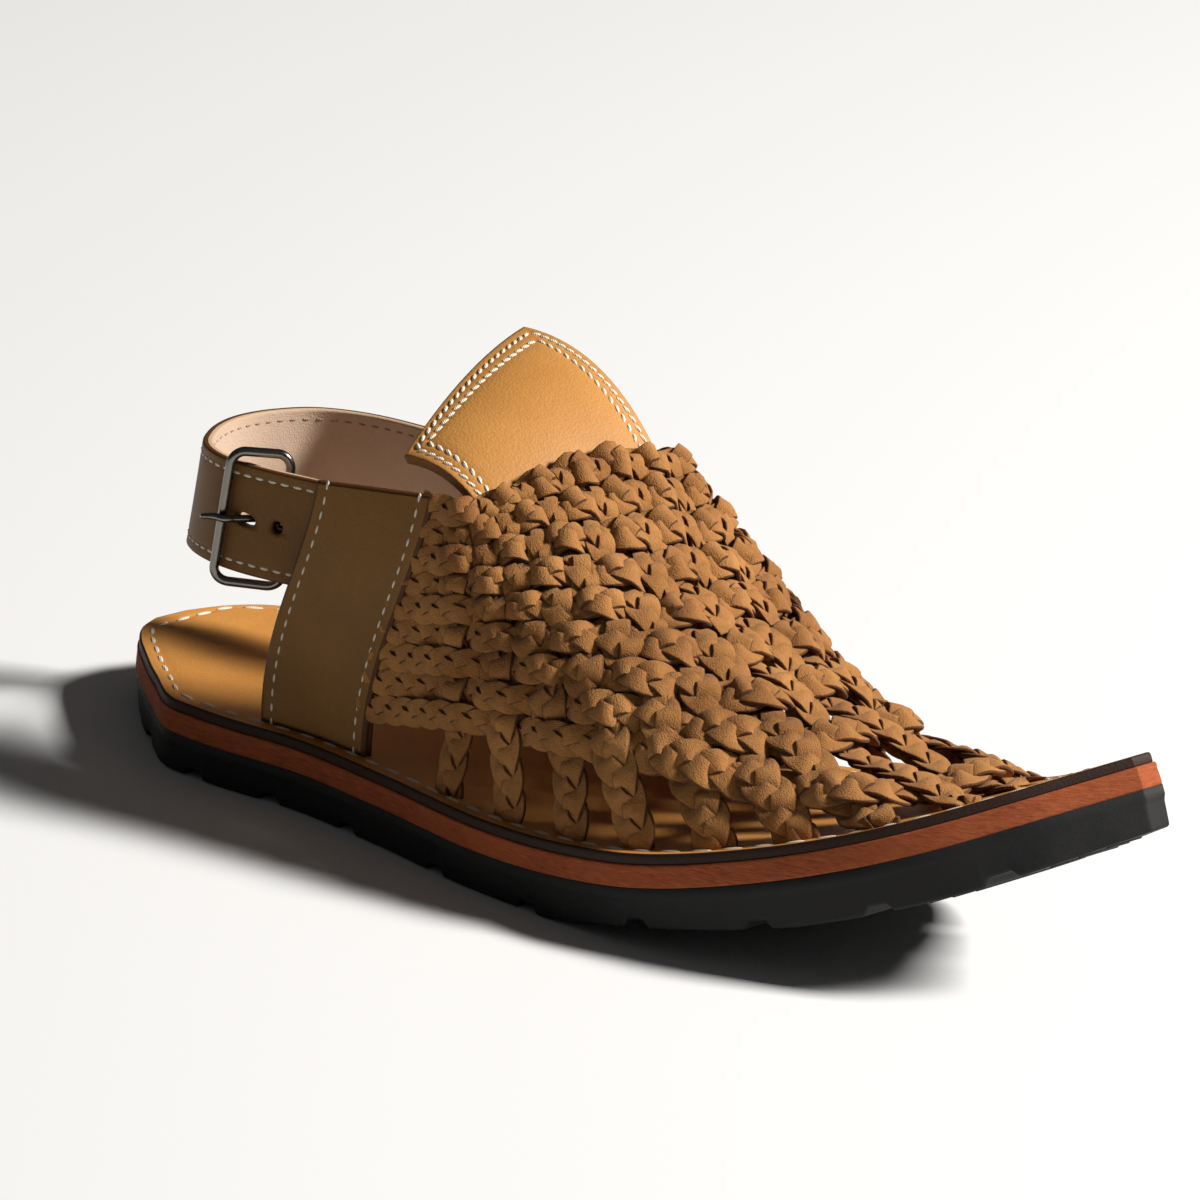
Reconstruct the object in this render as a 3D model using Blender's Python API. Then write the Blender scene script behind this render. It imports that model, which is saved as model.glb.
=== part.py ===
"""Woven leather sandal, right foot: braided closed toe, instep plate, side panels and a buckled heel strap
on a leather insole, a midsole and a lugged rubber outsole. +X runs to the toe, +Y to the wearer's left
(the medial side), +Z up. Sizes below are millimetres; the meshes are built in metres."""

import math

import bmesh
import bpy
import numpy as np

for item in list(bpy.data.objects):
    bpy.data.objects.remove(item, do_unlink=True)

MM = 0.001

# Sole sizes
SOLE_LENGTH = 305.0
BALL_WIDTH = 103.2
OUTSOLE_THICKNESS = 9.6
TOE_THICKENING = 1.6
MIDSOLE_THICKNESS = 5.0
INSOLE_THICKNESS = 2.2
LAYER_GAP = 0.25
INSOLE_INSET = 0.5
SPRING_START = 148.0
SPRING_END = 280.0
SPRING_DEGREES = 27.9
HEEL_BEVEL = 2.2
HEEL_BEVEL_REACH = 22.0
# The tread stays on the floor past the start of the spring, so that the ball of the foot has a flat spot
FLAT_END = 173.0
FLAT_FADE = 22.0
GROOVE_DEPTH = 1.9
GROOVE_WIDTH = 3.6
GROOVE_SLOPE = 1.6
SIDE_STEP = 0.9
SOLE_COLUMNS = 6
# Cross sections of the sole: close together round the heel, then evenly spaced
HEEL_SECTIONS = (0.0, 1.5, 4.0, 7.0, 11.0, 16.0, 22.0, 30.0, 39.0, 49.0)
SECTION_PITCH = 9.0
FIRST_SECTION = 60.0
LAST_SECTION = 8.0
SECTION_CLEARANCE = 1.2

# Sole outline: share of the length, then how far each side reaches from the axis as a share of BALL_WIDTH
OUTLINE = (
    # share, lateral, medial
    (0.000, -0.071, 0.133),
    (0.013, 0.031, 0.281),
    (0.033, 0.105, 0.373),
    (0.059, 0.175, 0.421),
    (0.105, 0.288, 0.446),
    (0.161, 0.396, 0.446),
    (0.203, 0.402, 0.431),
    (0.279, 0.387, 0.397),
    (0.377, 0.422, 0.397),
    (0.492, 0.483, 0.438),
    (0.639, 0.507, 0.493),
    (0.770, 0.402, 0.432),
    (0.843, 0.315, 0.350),
    (0.892, 0.229, 0.270),
    (0.938, 0.118, 0.215),
    (0.974, -0.004, 0.183),
    (1.000, -0.098, 0.166),
)

# How much of the toe thickening each part of the sole gets
TOE_THICKENING_RUN = (
    # share of the length, share of the thickening
    (0.68, 0.0),
    (0.78, 1.0),
    (0.92, 1.0),
    (1.00, 0.0),
)

# Cross grooves between the lugs, as shares of the sole length
GROOVES = (0.100, 0.184, 0.259, 0.343, 0.449, 0.549, 0.657, 0.751, 0.839, 0.918)

# Weave sizes
BRAID_WIDTH = 9.0
BRAID_ROWS = 9
BRAID_COLUMNS = 16
FIRST_COLUMN = 30.0
WALL_INNER = 1.3
RAISE_OVER = 2.7
RAISE_ALONG = 2.2
RAISE_UNDER = 0.7
RAISE_EDGE = -0.2
SMALLEST_GAP = 2.0
# The most of the spacing that a braid's half width may take, across the columns and across the rows
COLUMN_FILL = 0.42
ROW_FILL = 0.41
FOOT_INSET = 7.0
FOOT_GAP = 0.3
SPAN_GAP = 0.8
WEAVE_START = 104.5
WEAVE_TOE = 271.0
TOE_ROUNDING = 20.0

# Top edge of the weave, from the lateral panel over the instep to the medial panel, in millimetres
INSTEP_EDGE = (
    # x, y, z
    (117.0, -33.0, 83.5),
    (125.5, -27.5, 84.0),
    (130.0, 0.0, 90.5),
    (136.0, 25.5, 89.5),
    (129.5, 33.5, 85.5),
    (117.0, 37.5, 83.5),
)

# How each part of the weave leaves the sole and meets the instep edge. The foot rises and leans inward, the
# top runs out ahead, sideways and down, each in millimetres.
DRAPE = (
    # share, foot rise, foot lean, top ahead, top sideways, top down
    (0.00, 26.0, -1.5, 0.0, -3.5, 22.0),
    (0.16, 27.0, -1.0, 8.0, -10.0, 17.0),
    (0.30, 20.0, 4.0, 19.0, -11.0, 17.0),
    (0.42, 3.0, 27.0, 29.0, -5.0, 21.0),
    (0.52, -8.0, 54.0, 29.0, 0.0, 22.0),
    (0.64, 2.0, 27.0, 27.0, 3.0, 22.0),
    (0.78, 22.0, 2.0, 14.0, 9.0, 18.0),
    (0.90, 28.0, -1.0, 6.0, 7.0, 18.0),
    (1.00, 28.0, -1.5, 0.0, 3.0, 22.0),
)

# Where the lowest and highest rows run, as shares of the way up the weave, and how the rest crowd upward
ROW_SPREAD = (
    # share, lowest row, highest row, crowding
    (0.00, 0.16, 0.955, 1.00),
    (0.10, 0.26, 0.955, 1.00),
    (0.25, 0.28, 0.955, 0.95),
    (0.40, 0.16, 0.960, 0.80),
    (0.52, 0.08, 0.965, 0.70),
    (0.64, 0.14, 0.960, 0.80),
    (0.78, 0.24, 0.955, 0.95),
    (0.90, 0.26, 0.955, 1.00),
    (1.00, 0.16, 0.955, 1.00),
)

# Instep plate
PLATE_THICKNESS = 3.0
PLATE_TUCK = 9.0
PLATE_CLEARANCE = 0.35
PLATE_ARCH = 4.0
PLATE_ARCH_WAY = (0.12, -0.2, 0.97)
PLATE_CROWN = 6.5
PLATE_CROWN_WAY = (0.3, 0.0, 0.95)
PLATE_CROWN_AT_LATERAL = 0.35
PLATE_SECTIONS = 11
PLATE_LATERAL_CORNER = (101.3, -27.5, 88.3)
PLATE_MEDIAL_CORNER = (89.3, 27.5, 108.4)
PLATE_SPAN = (0.105, 0.720)

# Side panels
PANEL_THICKNESS = 3.2
PANEL_FOOT_WIDTH = 33.0
PANEL_TOP_WIDTH = 35.0
PANEL_STAND_OFF = 1.7
PANEL_GAP = 0.3
PANEL_FLARE_POWER = 1.5
PANEL_ROWS = 6
PANEL_LEVELS = 11
LATERAL_PANEL_DROP = 5.0
MEDIAL_PANEL_DROP = 3.5

# Heel strap, buckle and the tab that holds it
STRAP_THICKNESS = 2.6
STRAP_HEIGHT = 26.5
STRAP_MIDDLE = 63.5
STRAP_LEAN = 1.3
STRAP_REAR_DROP = 1.2
# Share of the strap at which its lean and its drop begin, and the share over which they settle
STRAP_SETTLE_START = 0.24
STRAP_SETTLE_RUN = 0.16
STRAP_SECTIONS = 35
STRAP_SECTION_CLEARANCE = 0.012
STRAP_FLAT_HALF = 6.0
STRAP_HOLE_RADIUS = 1.7
PRONG_HOLE_HALF = 3.2
STRAP_HOLES = (59.8, 68.6)
STRAP_PATH = (
    # x, y of the strap's middle line seen from above
    (92.0, -28.2),
    (84.0, -28.4),
    (76.0, -29.4),
    (68.0, -31.2),
    (59.0, -32.4),
    (50.0, -31.6),
    (41.5, -27.4),
    (34.0, -20.0),
    (28.6, -10.5),
    (26.0, 0.5),
    (27.2, 12.0),
    (32.5, 22.8),
    (44.0, 29.8),
    (60.0, 32.4),
    (76.0, 32.2),
    (92.0, 31.6),
)
TAB_THICKNESS = 1.8
TAB_HEIGHT = 19.0
TAB_FRONT = 96.0
TAB_CLEARANCE = 0.4
TAB_SLOT = 6.0
# Where the tab's tail leaves the hinge bar, how far it takes to reach the strap, and the strap's last x
TAB_TAIL_LEAD = 4.0
TAB_TAIL_BLEND = 16.0
TAB_FOLLOW_END = 91.0
TAB_TURN_START_DEGREES = -81.0
TAB_TURNS = 11
WIRE_RADIUS = 1.15
WIRE_SIDES = 8
BUCKLE_HEIGHT = 32.5
BUCKLE_SKEW_DEGREES = 6.0
BUCKLE_CORNER = 3.5
BUCKLE_CORNER_STEPS = 6
HINGE_X = 67.5
LEFT_BAR_X = 54.6
BAR_CLEARANCE = 0.45
PRONG_RADIUS = 0.9
PRONG_CLEARANCE = 0.5
PRONG_OVERHANG = 3.4
PRONG_EYE_DEGREES = 135.0
PRONG_EYE_STEPS = 15
PRONG_TIP_X = 56.5
PRONG_TIP_OUT = 2.0
# x and distance outward from the strap's middle, where the prong rises through its hole
PRONG_RISE = ((62.8, -3.4), (61.6, -2.5), (59.8, 0.0), (58.2, 2.6), (56.9, 4.8))

# Colours and surface of each material
MATERIALS = {
    # name: (red, green, blue), roughness, metallic
    "outsole_rubber": ((0.012, 0.012, 0.013), 0.78, 0.0),
    "midsole_fibre": ((0.42, 0.115, 0.045), 0.85, 0.0),
    "insole_leather": ((0.56, 0.33, 0.13), 0.55, 0.0),
    "braid_nubuck": ((0.50, 0.29, 0.13), 0.80, 0.0),
    "plate_leather": ((0.56, 0.34, 0.13), 0.50, 0.0),
    "panel_leather": ((0.46, 0.27, 0.10), 0.50, 0.0),
    "strap_leather": ((0.45, 0.26, 0.10), 0.52, 0.0),
    "tab_leather": ((0.40, 0.23, 0.09), 0.58, 0.0),
    "buckle_metal": ((0.42, 0.41, 0.40), 0.25, 1.0),
    "prong_metal": ((0.46, 0.45, 0.44), 0.25, 1.0),
}


def smooth_curve(table, column, where):
    """Reads one column of a table at the given shares, smoothly and without overshoot."""
    xs = np.array([row[0] for row in table], float)
    ys = np.array([row[column] for row in table], float)
    steps = np.diff(xs)
    slopes = np.diff(ys) / steps
    tangents = np.zeros(len(xs))
    for k in range(1, len(xs) - 1):
        if slopes[k - 1] * slopes[k] > 0:
            w1 = 2 * steps[k] + steps[k - 1]
            w2 = steps[k] + 2 * steps[k - 1]
            tangents[k] = (w1 + w2) / (w1 / slopes[k - 1] + w2 / slopes[k])
    tangents[0], tangents[-1] = slopes[0], slopes[-1]
    where = np.clip(np.asarray(where, float), xs[0], xs[-1])
    k = np.clip(np.searchsorted(xs, where, side="right") - 1, 0, len(steps) - 1)
    t = (where - xs[k]) / steps[k]
    h = steps[k]
    return (
        (1 + 2 * t) * (1 - t) ** 2 * ys[k]
        + t * (1 - t) ** 2 * h * tangents[k]
        + t * t * (3 - 2 * t) * ys[k + 1]
        + t * t * (t - 1) * h * tangents[k + 1]
    )


def through(points, shares, samples=400):
    """A smooth line through the points, read at shares of its own length."""
    pts = np.array(points, float)
    pts = np.vstack([2 * pts[0] - pts[1], pts, 2 * pts[-1] - pts[-2]])
    line = []
    for k in range(1, len(pts) - 2):
        p0, p1, p2, p3 = pts[k - 1 : k + 3]
        for t in np.arange(samples) / samples:
            line.append(
                0.5
                * (
                    2 * p1
                    + (p2 - p0) * t
                    + (2 * p0 - 5 * p1 + 4 * p2 - p3) * t * t
                    + (3 * p1 - p0 - 3 * p2 + p3) * t**3
                )
            )
    line = np.array(line + [pts[-2]])
    run = np.concatenate([[0], np.cumsum(np.linalg.norm(np.diff(line, axis=0), axis=1))])
    wanted = np.asarray(shares, float) * run[-1]
    return np.stack([np.interp(wanted, run, line[:, a]) for a in range(line.shape[1])], -1), run[-1]


# Spine of the sole: flat under the heel and arch, then rising to the toe
SPINE_S = np.linspace(0.0, SOLE_LENGTH, 611)
SPINE_TILT = np.radians(SPRING_DEGREES) * np.clip(
    (SPINE_S - SPRING_START) / (SPRING_END - SPRING_START), 0.0, 1.0
)
SPINE_MEAN = (SPINE_TILT[1:] + SPINE_TILT[:-1]) / 2
SPINE_X = np.concatenate([[0], np.cumsum(np.cos(SPINE_MEAN) * np.diff(SPINE_S))])
SPINE_Z = np.concatenate([[0], np.cumsum(np.sin(SPINE_MEAN) * np.diff(SPINE_S))])


def on_spine(s, y, n):
    """A point of the sole: s along its flat length, y across, n above its underside."""
    s, y, n = np.broadcast_arrays(np.asarray(s, float), np.asarray(y, float), np.asarray(n, float))
    tilt = np.interp(s, SPINE_S, SPINE_TILT)
    x = np.interp(s, SPINE_S, SPINE_X) - n * np.sin(tilt)
    z = np.interp(s, SPINE_S, SPINE_Z) + n * np.cos(tilt)
    return np.stack([x, y, z], -1)


def lateral_edge(s):
    return -BALL_WIDTH * smooth_curve(OUTLINE, 1, np.asarray(s) / SOLE_LENGTH)


def medial_edge(s):
    return BALL_WIDTH * smooth_curve(OUTLINE, 2, np.asarray(s) / SOLE_LENGTH)


# The part's frame starts under the middle of the sole's overall size
EDGE_S = np.linspace(0.0, SOLE_LENGTH, 1221)
ORIGIN = np.array(
    [
        on_spine(SOLE_LENGTH - SIDE_STEP, 0.0, 0.0)[0] / 2,
        (lateral_edge(EDGE_S).min() + medial_edge(EDGE_S).max()) / 2,
        0.0,
    ]
)


def make_material(name):
    colour, roughness, metallic = MATERIALS[name]
    material = bpy.data.materials.new(name)
    material.use_nodes = True
    shader = material.node_tree.nodes["Principled BSDF"]
    shader.inputs["Base Color"].default_value = (*colour, 1.0)
    shader.inputs["Roughness"].default_value = roughness
    shader.inputs["Metallic"].default_value = metallic
    material.diffuse_color = (*colour, 1.0)
    return material


def make_object(name, vertices, faces, material, smooth=True):
    """One named solid from vertices in millimetres, with outward faces and its own material."""
    mesh = bpy.data.meshes.new(name)
    mesh.from_pydata([tuple(v) for v in (np.asarray(vertices) - ORIGIN) * MM], [], faces)
    work = bmesh.new()
    work.from_mesh(mesh)
    loose = [v for v in work.verts if not v.link_faces]
    bmesh.ops.delete(work, geom=loose, context="VERTS")
    bmesh.ops.triangulate(work, faces=work.faces[:], quad_method="SHORT_EDGE")
    bmesh.ops.recalc_face_normals(work, faces=work.faces[:])
    if work.calc_volume(signed=True) < 0:
        bmesh.ops.reverse_faces(work, faces=work.faces[:])
    work.to_mesh(mesh)
    work.free()
    mesh.polygons.foreach_set("use_smooth", [smooth] * len(mesh.polygons))
    mesh.materials.append(make_material(material))
    solid = bpy.data.objects.new(name, mesh)
    bpy.context.scene.collection.objects.link(solid)
    return solid


def make_wall(name, outer, inner, material, openings=(), smooth=True):
    """A closed wall between two grids of points. Cells named in openings are cut right through."""
    rows, columns = outer.shape[:2]
    count = rows * columns
    opened = set(openings)

    def solid(i, j):
        return 0 <= i < rows - 1 and 0 <= j < columns - 1 and (i, j) not in opened

    faces = []
    for i in range(rows - 1):
        for j in range(columns - 1):
            if not solid(i, j):
                continue
            a, b = i * columns + j, i * columns + j + 1
            c, d = b + columns, a + columns
            faces.append((a, b, c, d))
            faces.append((d + count, c + count, b + count, a + count))
            for (p, q), (di, dj) in (
                ((a, b), (-1, 0)),
                ((b, c), (0, 1)),
                ((c, d), (1, 0)),
                ((d, a), (0, -1)),
            ):
                if not solid(i + di, j + dj):
                    faces.append((q, p, p + count, q + count))
    vertices = np.concatenate([outer.reshape(-1, 3), inner.reshape(-1, 3)])
    return make_object(name, vertices, faces, material, smooth)


def make_wire(name, path, radius, material, closed):
    """A round wire along a flat path."""
    vertices, faces = [], []
    line = np.asarray(path, float)
    n = len(line)
    ahead = np.roll(line, -1, 0) - np.roll(line, 1, 0)
    if not closed:
        ahead[0], ahead[-1] = line[1] - line[0], line[-1] - line[-2]
    ahead /= np.linalg.norm(ahead, axis=1)[:, None]
    normal = np.linalg.svd(line - line.mean(0))[2][2]
    for p, t in zip(line, ahead):
        side = np.cross(normal, t)
        side /= np.linalg.norm(side)
        rise = np.cross(t, side)
        for k in range(WIRE_SIDES):
            turn = 2 * math.pi * (k + 0.5) / WIRE_SIDES
            vertices.append(p + radius * (math.cos(turn) * side + math.sin(turn) * rise))
    for i in range(n if closed else n - 1):
        here, there = i * WIRE_SIDES, (i + 1) % n * WIRE_SIDES
        for k in range(WIRE_SIDES):
            after = (k + 1) % WIRE_SIDES
            faces.append((here + k, here + after, there + after, there + k))
    if not closed:
        faces.append(tuple(range(WIRE_SIDES)))
        faces.append(tuple((n - 1) * WIRE_SIDES + k for k in reversed(range(WIRE_SIDES))))
    return make_object(name, vertices, faces, material)


# Sole layers
def sole_stations(extra=()):
    """Distances along the sole at which it is cut into cross sections, with any extra ones kept clear."""
    body = list(np.arange(FIRST_SECTION, SOLE_LENGTH - LAST_SECTION, SECTION_PITCH))
    taken = list(HEEL_SECTIONS) + body + [SOLE_LENGTH - LAST_SECTION / 2, SOLE_LENGTH]
    kept = [s for s in taken if all(abs(s - e) > SECTION_CLEARANCE for e in extra)]
    return np.array(sorted(kept + list(extra)))


def sole_grid(s, level, inset=0.0, shift=0.0):
    """A grid of points across the sole at the given height above its underside."""
    s = s[:, None]
    across = np.linspace(0.0, 1.0, SOLE_COLUMNS + 1)[None, :]
    low, high = lateral_edge(s) + inset, medial_edge(s) - inset
    moved = np.clip(s + shift * np.clip(1 - s / HEEL_BEVEL_REACH, 0, 1), inset, SOLE_LENGTH - inset)
    return on_spine(moved, low + (high - low) * across, level)


def groove_stations():
    """Distances along the sole of each groove's two lips and two floor edges, and of the flat's end."""
    half = GROOVE_WIDTH / 2
    offsets = (-half - GROOVE_SLOPE, -half, half, half + GROOVE_SLOPE)
    return [g * SOLE_LENGTH + o for g in GROOVES for o in offsets] + [FLAT_END]


def outsole_underside(s):
    """Height of the tread above the spine: lugs and grooves, on the floor as far as the ball."""
    centres = np.array(GROOVES) * SOLE_LENGTH
    away = np.abs(s[:, None] - centres[None, :]).min(1) - GROOVE_WIDTH / 2
    cut = GROOVE_DEPTH * (1 - np.clip(away / GROOVE_SLOPE, 0, 1))
    shares, amounts = zip(*TOE_THICKENING_RUN)
    toe = TOE_THICKENING * np.interp(s / SOLE_LENGTH, shares, amounts)
    held = np.minimum(s, FLAT_END)
    to_floor = np.interp(held, SPINE_S, SPINE_Z) / np.cos(np.interp(held, SPINE_S, SPINE_TILT))
    to_floor = to_floor * np.clip(1 - (s - FLAT_END) / FLAT_FADE, 0, 1)
    return cut - np.maximum(toe, to_floor)


OUTSOLE_TOP = OUTSOLE_THICKNESS
MIDSOLE_BOTTOM = OUTSOLE_TOP + LAYER_GAP
MIDSOLE_TOP = MIDSOLE_BOTTOM + MIDSOLE_THICKNESS
INSOLE_BOTTOM = MIDSOLE_TOP + LAYER_GAP
INSOLE_TOP = INSOLE_BOTTOM + INSOLE_THICKNESS

tread_s = sole_stations(groove_stations())
tread = outsole_underside(tread_s)[:, None]
make_wall(
    "outsole",
    sole_grid(tread_s, OUTSOLE_TOP),
    sole_grid(tread_s, tread, inset=SIDE_STEP, shift=HEEL_BEVEL),
    "outsole_rubber",
    smooth=False,
)
layer_s = sole_stations()
make_wall(
    "midsole",
    sole_grid(layer_s, MIDSOLE_TOP),
    sole_grid(layer_s, MIDSOLE_BOTTOM),
    "midsole_fibre",
    smooth=False,
)
make_wall(
    "insole",
    sole_grid(layer_s, INSOLE_TOP, inset=INSOLE_INSET),
    sole_grid(layer_s, INSOLE_BOTTOM, inset=INSOLE_INSET),
    "insole_leather",
    smooth=False,
)


# Surface the braids lie on
def foot_line():
    """Where the weave stands on the insole, from the lateral panel round the toe to the medial panel."""
    straight = np.linspace(WEAVE_START, WEAVE_TOE - TOE_ROUNDING, 60)
    lateral = np.stack([straight, lateral_edge(straight) + FOOT_INSET], 1)
    medial = np.stack([straight, medial_edge(straight) - FOOT_INSET], 1)[::-1]
    turn = np.linspace(0, math.pi, 41)[1:-1]
    middle = (lateral[-1, 1] + medial[0, 1]) / 2
    half = (medial[0, 1] - lateral[-1, 1]) / 2
    toe = np.stack([lateral[-1, 0] + TOE_ROUNDING * np.sin(turn), middle - half * np.cos(turn)], 1)
    return np.concatenate([lateral, toe, medial])


FOOT_LINE = foot_line()
FOOT_RUN = np.concatenate([[0], np.cumsum(np.linalg.norm(np.diff(FOOT_LINE, axis=0), axis=1))])
FOOT_LENGTH = FOOT_RUN[-1]


def foot_point(u):
    run = np.asarray(u, float) * FOOT_LENGTH
    s = np.interp(run, FOOT_RUN, FOOT_LINE[:, 0])
    y = np.interp(run, FOOT_RUN, FOOT_LINE[:, 1])
    return s, y


def weave_surface(u, v):
    """Point of the weave's middle surface: u from lateral to medial panel, v from the sole upward."""
    u, v = np.broadcast_arrays(np.asarray(u, float), np.asarray(v, float))
    shape = u.shape
    u, v = u.ravel(), v.ravel()
    s, y = foot_point(u)
    p0 = on_spine(s, y, INSOLE_TOP)
    p3 = through(INSTEP_EDGE, u)[0]
    rise, lean, ahead, side, down = (smooth_curve(DRAPE, k, u) for k in range(1, 6))
    tilt = np.interp(s, SPINE_S, SPINE_TILT)
    up = np.stack([-np.sin(tilt), 0 * tilt, np.cos(tilt)], -1)
    inward = p3 - p0
    inward[:, 2] = 0
    inward /= np.linalg.norm(inward, axis=1)[:, None]
    p1 = p0 + up * rise[:, None] + inward * lean[:, None]
    p2 = p3 + np.stack([ahead, side, -down], -1)
    t = v[:, None]
    point = (1 - t) ** 3 * p0 + 3 * (1 - t) ** 2 * t * p1 + 3 * (1 - t) * t * t * p2 + t**3 * p3
    return point.reshape(*shape, 3)


def weave_normal(u, v, step=0.004):
    """Outward direction of the weave's surface."""
    u, v = np.broadcast_arrays(np.asarray(u, float), np.asarray(v, float))
    du = weave_surface(np.clip(u + step, 0, 1), v) - weave_surface(np.clip(u - step, 0, 1), v)
    dv = weave_surface(u, np.clip(v + step, 0, 1)) - weave_surface(u, np.clip(v - step, 0, 1))
    n = np.cross(du, dv)
    return n / np.linalg.norm(n, axis=-1)[..., None]


def row_height(r, u):
    """Share of the way up the weave at which row r runs."""
    low, high, crowd = (smooth_curve(ROW_SPREAD, k, u) for k in (1, 2, 3))
    return low + (high - low) * (r / (BRAID_ROWS - 1)) ** crowd


COLUMN_PITCH = (FOOT_LENGTH - 2 * FIRST_COLUMN) / (BRAID_COLUMNS - 1)
COLUMN_U = (FIRST_COLUMN + COLUMN_PITCH * np.arange(BRAID_COLUMNS)) / FOOT_LENGTH
PROFILE_V = np.linspace(0, 1, 25)


def profile_length(u):
    pts = weave_surface(u[:, None], PROFILE_V[None, :])
    return np.linalg.norm(np.diff(pts, axis=1), axis=2).sum(1)


# Grid of the woven wall: each braid is two cells wide, each gap one cell
def weave_lines():
    """Nominal columns of grid lines: (kind, column number, side)."""
    lines = [("end", 0, 0.0), ("gap", 0, 0.5)]
    for c in range(BRAID_COLUMNS):
        lines += [("braid", c, -1.0), ("braid", c, 0.0), ("braid", c, 1.0)]
    return lines + [("gap", BRAID_COLUMNS, 0.5), ("end", 1, 1.0)]


LINES = weave_lines()


def line_u(kind, number, side, v):
    """Share across the weave of one grid line at height v."""
    if kind == "end":
        return np.full_like(v, side)
    if kind == "gap":
        return np.full_like(v, COLUMN_U[0] / 2 if number == 0 else (1 + COLUMN_U[-1]) / 2)
    centre = COLUMN_U[number]
    step = 0.004
    wide = np.linalg.norm(weave_surface(centre + step, v) - weave_surface(centre - step, v), axis=-1)
    half = np.minimum(BRAID_WIDTH / 2 * 2 * step / wide, COLUMN_FILL * COLUMN_PITCH / FOOT_LENGTH)
    return centre + side * half


def weave_levels():
    """Kinds of grid levels from the sole up: (kind, row number, side)."""
    levels = [("foot", 0, 0.0), ("foot", 0, 0.5)]
    for r in range(BRAID_ROWS):
        levels += [("braid", r, -1.0), ("braid", r, 0.0), ("braid", r, 1.0)]
    return levels


LEVELS = weave_levels()
line_guess = np.array([line_u(*line, np.array([0.5]))[0] for line in LINES])
line_length = profile_length(line_guess)
grid_v = np.zeros((len(LEVELS), len(LINES)))
gap_height = np.zeros((BRAID_ROWS, len(LINES)))
for j, u in enumerate(line_guess):
    middles = row_height(np.arange(BRAID_ROWS), np.full(BRAID_ROWS, u))
    near = np.diff(middles)
    for r in range(BRAID_ROWS):
        room = min(near[max(r - 1, 0)], near[min(r, BRAID_ROWS - 2)])
        half = min(BRAID_WIDTH / 2 / line_length[j], ROW_FILL * room)
        for side in (-1, 0, 1):
            grid_v[3 + 3 * r + side, j] = min(middles[r] + side * half, 1.0)
    grid_v[1, j] = grid_v[2, j] / 2
    gap_height[0, j] = grid_v[2, j] * line_length[j]
    for r in range(1, BRAID_ROWS):
        gap_height[r, j] = (grid_v[2 + 3 * r, j] - grid_v[2 + 3 * r - 1, j]) * line_length[j]
grid_u = np.stack([line_u(*line, grid_v[:, j]) for j, line in enumerate(LINES)], 1)


def raised(level, line):
    """How far the outer face stands above the middle surface at one grid point."""
    is_row, is_column = level[0] == "braid", line[0] == "braid"
    if is_row and is_column:
        row_over = (level[1] + line[1]) % 2 == 0
        side = level[2] if row_over else line[2]
        return RAISE_OVER if side == 0 else RAISE_UNDER
    if is_row:
        return RAISE_ALONG if level[2] == 0 else RAISE_EDGE
    if is_column:
        return RAISE_ALONG if line[2] == 0 else RAISE_EDGE
    return RAISE_EDGE


def insole_height(x):
    """Height of the insole's upper face above the floor at the given x."""
    face = on_spine(SPINE_S, 0.0, INSOLE_TOP)
    return np.interp(x, face[:, 0], face[:, 2])


middle = weave_surface(grid_u, grid_v)
outward = weave_normal(grid_u, grid_v)
lift = np.array([[raised(level, line) for line in LINES] for level in LEVELS])
for end in (0, -1):
    outward[:, end, 0] = 0
    outward[:, end] /= np.linalg.norm(outward[:, end], axis=-1)[:, None]
outward[0, :, 2] = 0
outward[0] /= np.linalg.norm(outward[0], axis=-1)[:, None]
weave_outer = middle + outward * lift[..., None]
weave_inner = middle - outward * WALL_INNER
room = np.minimum(
    weave_inner[..., 2] - insole_height(weave_inner[..., 0]),
    weave_outer[..., 2] - insole_height(weave_outer[..., 0]),
)
push = np.clip(SPAN_GAP - room, 0, None)
weave_outer[..., 2] += push
weave_inner[..., 2] += push
for face in (weave_outer, weave_inner):
    face[0, :, 2] = insole_height(face[0, :, 0]) + FOOT_GAP
openings = []
for j in range(len(LINES) - 1):
    between = not (LINES[j][0] == "braid" and LINES[j + 1][0] == "braid" and LINES[j][1] == LINES[j + 1][1])
    if not between:
        continue
    for i in (0, 1):
        openings.append((i, j))
    for r in range(1, BRAID_ROWS):
        if min(gap_height[r, j], gap_height[r, j + 1]) > SMALLEST_GAP:
            wide = np.linalg.norm(middle[1 + 3 * r, j + 1] - middle[1 + 3 * r, j])
            if wide > SMALLEST_GAP:
                openings.append((1 + 3 * r, j))
make_wall("woven_vamp", weave_outer, weave_inner, "braid_nubuck", openings)


# Instep plate, its front edge tucked under the top row
plate_w = np.linspace(0, 1, PLATE_SECTIONS)
plate_u = PLATE_SPAN[0] + (PLATE_SPAN[1] - PLATE_SPAN[0]) * plate_w
corner_a, corner_b = np.array(PLATE_LATERAL_CORNER), np.array(PLATE_MEDIAL_CORNER)
bulge = (PLATE_ARCH * 4 * plate_w * (1 - plate_w))[:, None] * np.array(PLATE_ARCH_WAY)
rear = corner_a + (corner_b - corner_a) * plate_w[:, None] + bulge
sink = WALL_INNER + PLATE_CLEARANCE
lengths = profile_length(plate_u)
tuck_rows = [
    weave_surface(plate_u, 1 - share * PLATE_TUCK / lengths)
    - sink * weave_normal(plate_u, 1 - share * PLATE_TUCK / lengths)
    for share in (1.0, 0.5, 0.0)
]
edge_row = tuck_rows[-1]
free_rows = []
for share in (0.25, 0.5, 0.75, 1.0):
    fullness = PLATE_CROWN_AT_LATERAL + (1 - PLATE_CROWN_AT_LATERAL) * plate_w
    lifted = (PLATE_CROWN * 4 * share * (1 - share) * fullness)[:, None]
    free_rows.append(edge_row + (rear - edge_row) * share + lifted * np.array(PLATE_CROWN_WAY))
plate_outer = np.stack(tuck_rows + free_rows)


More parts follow.
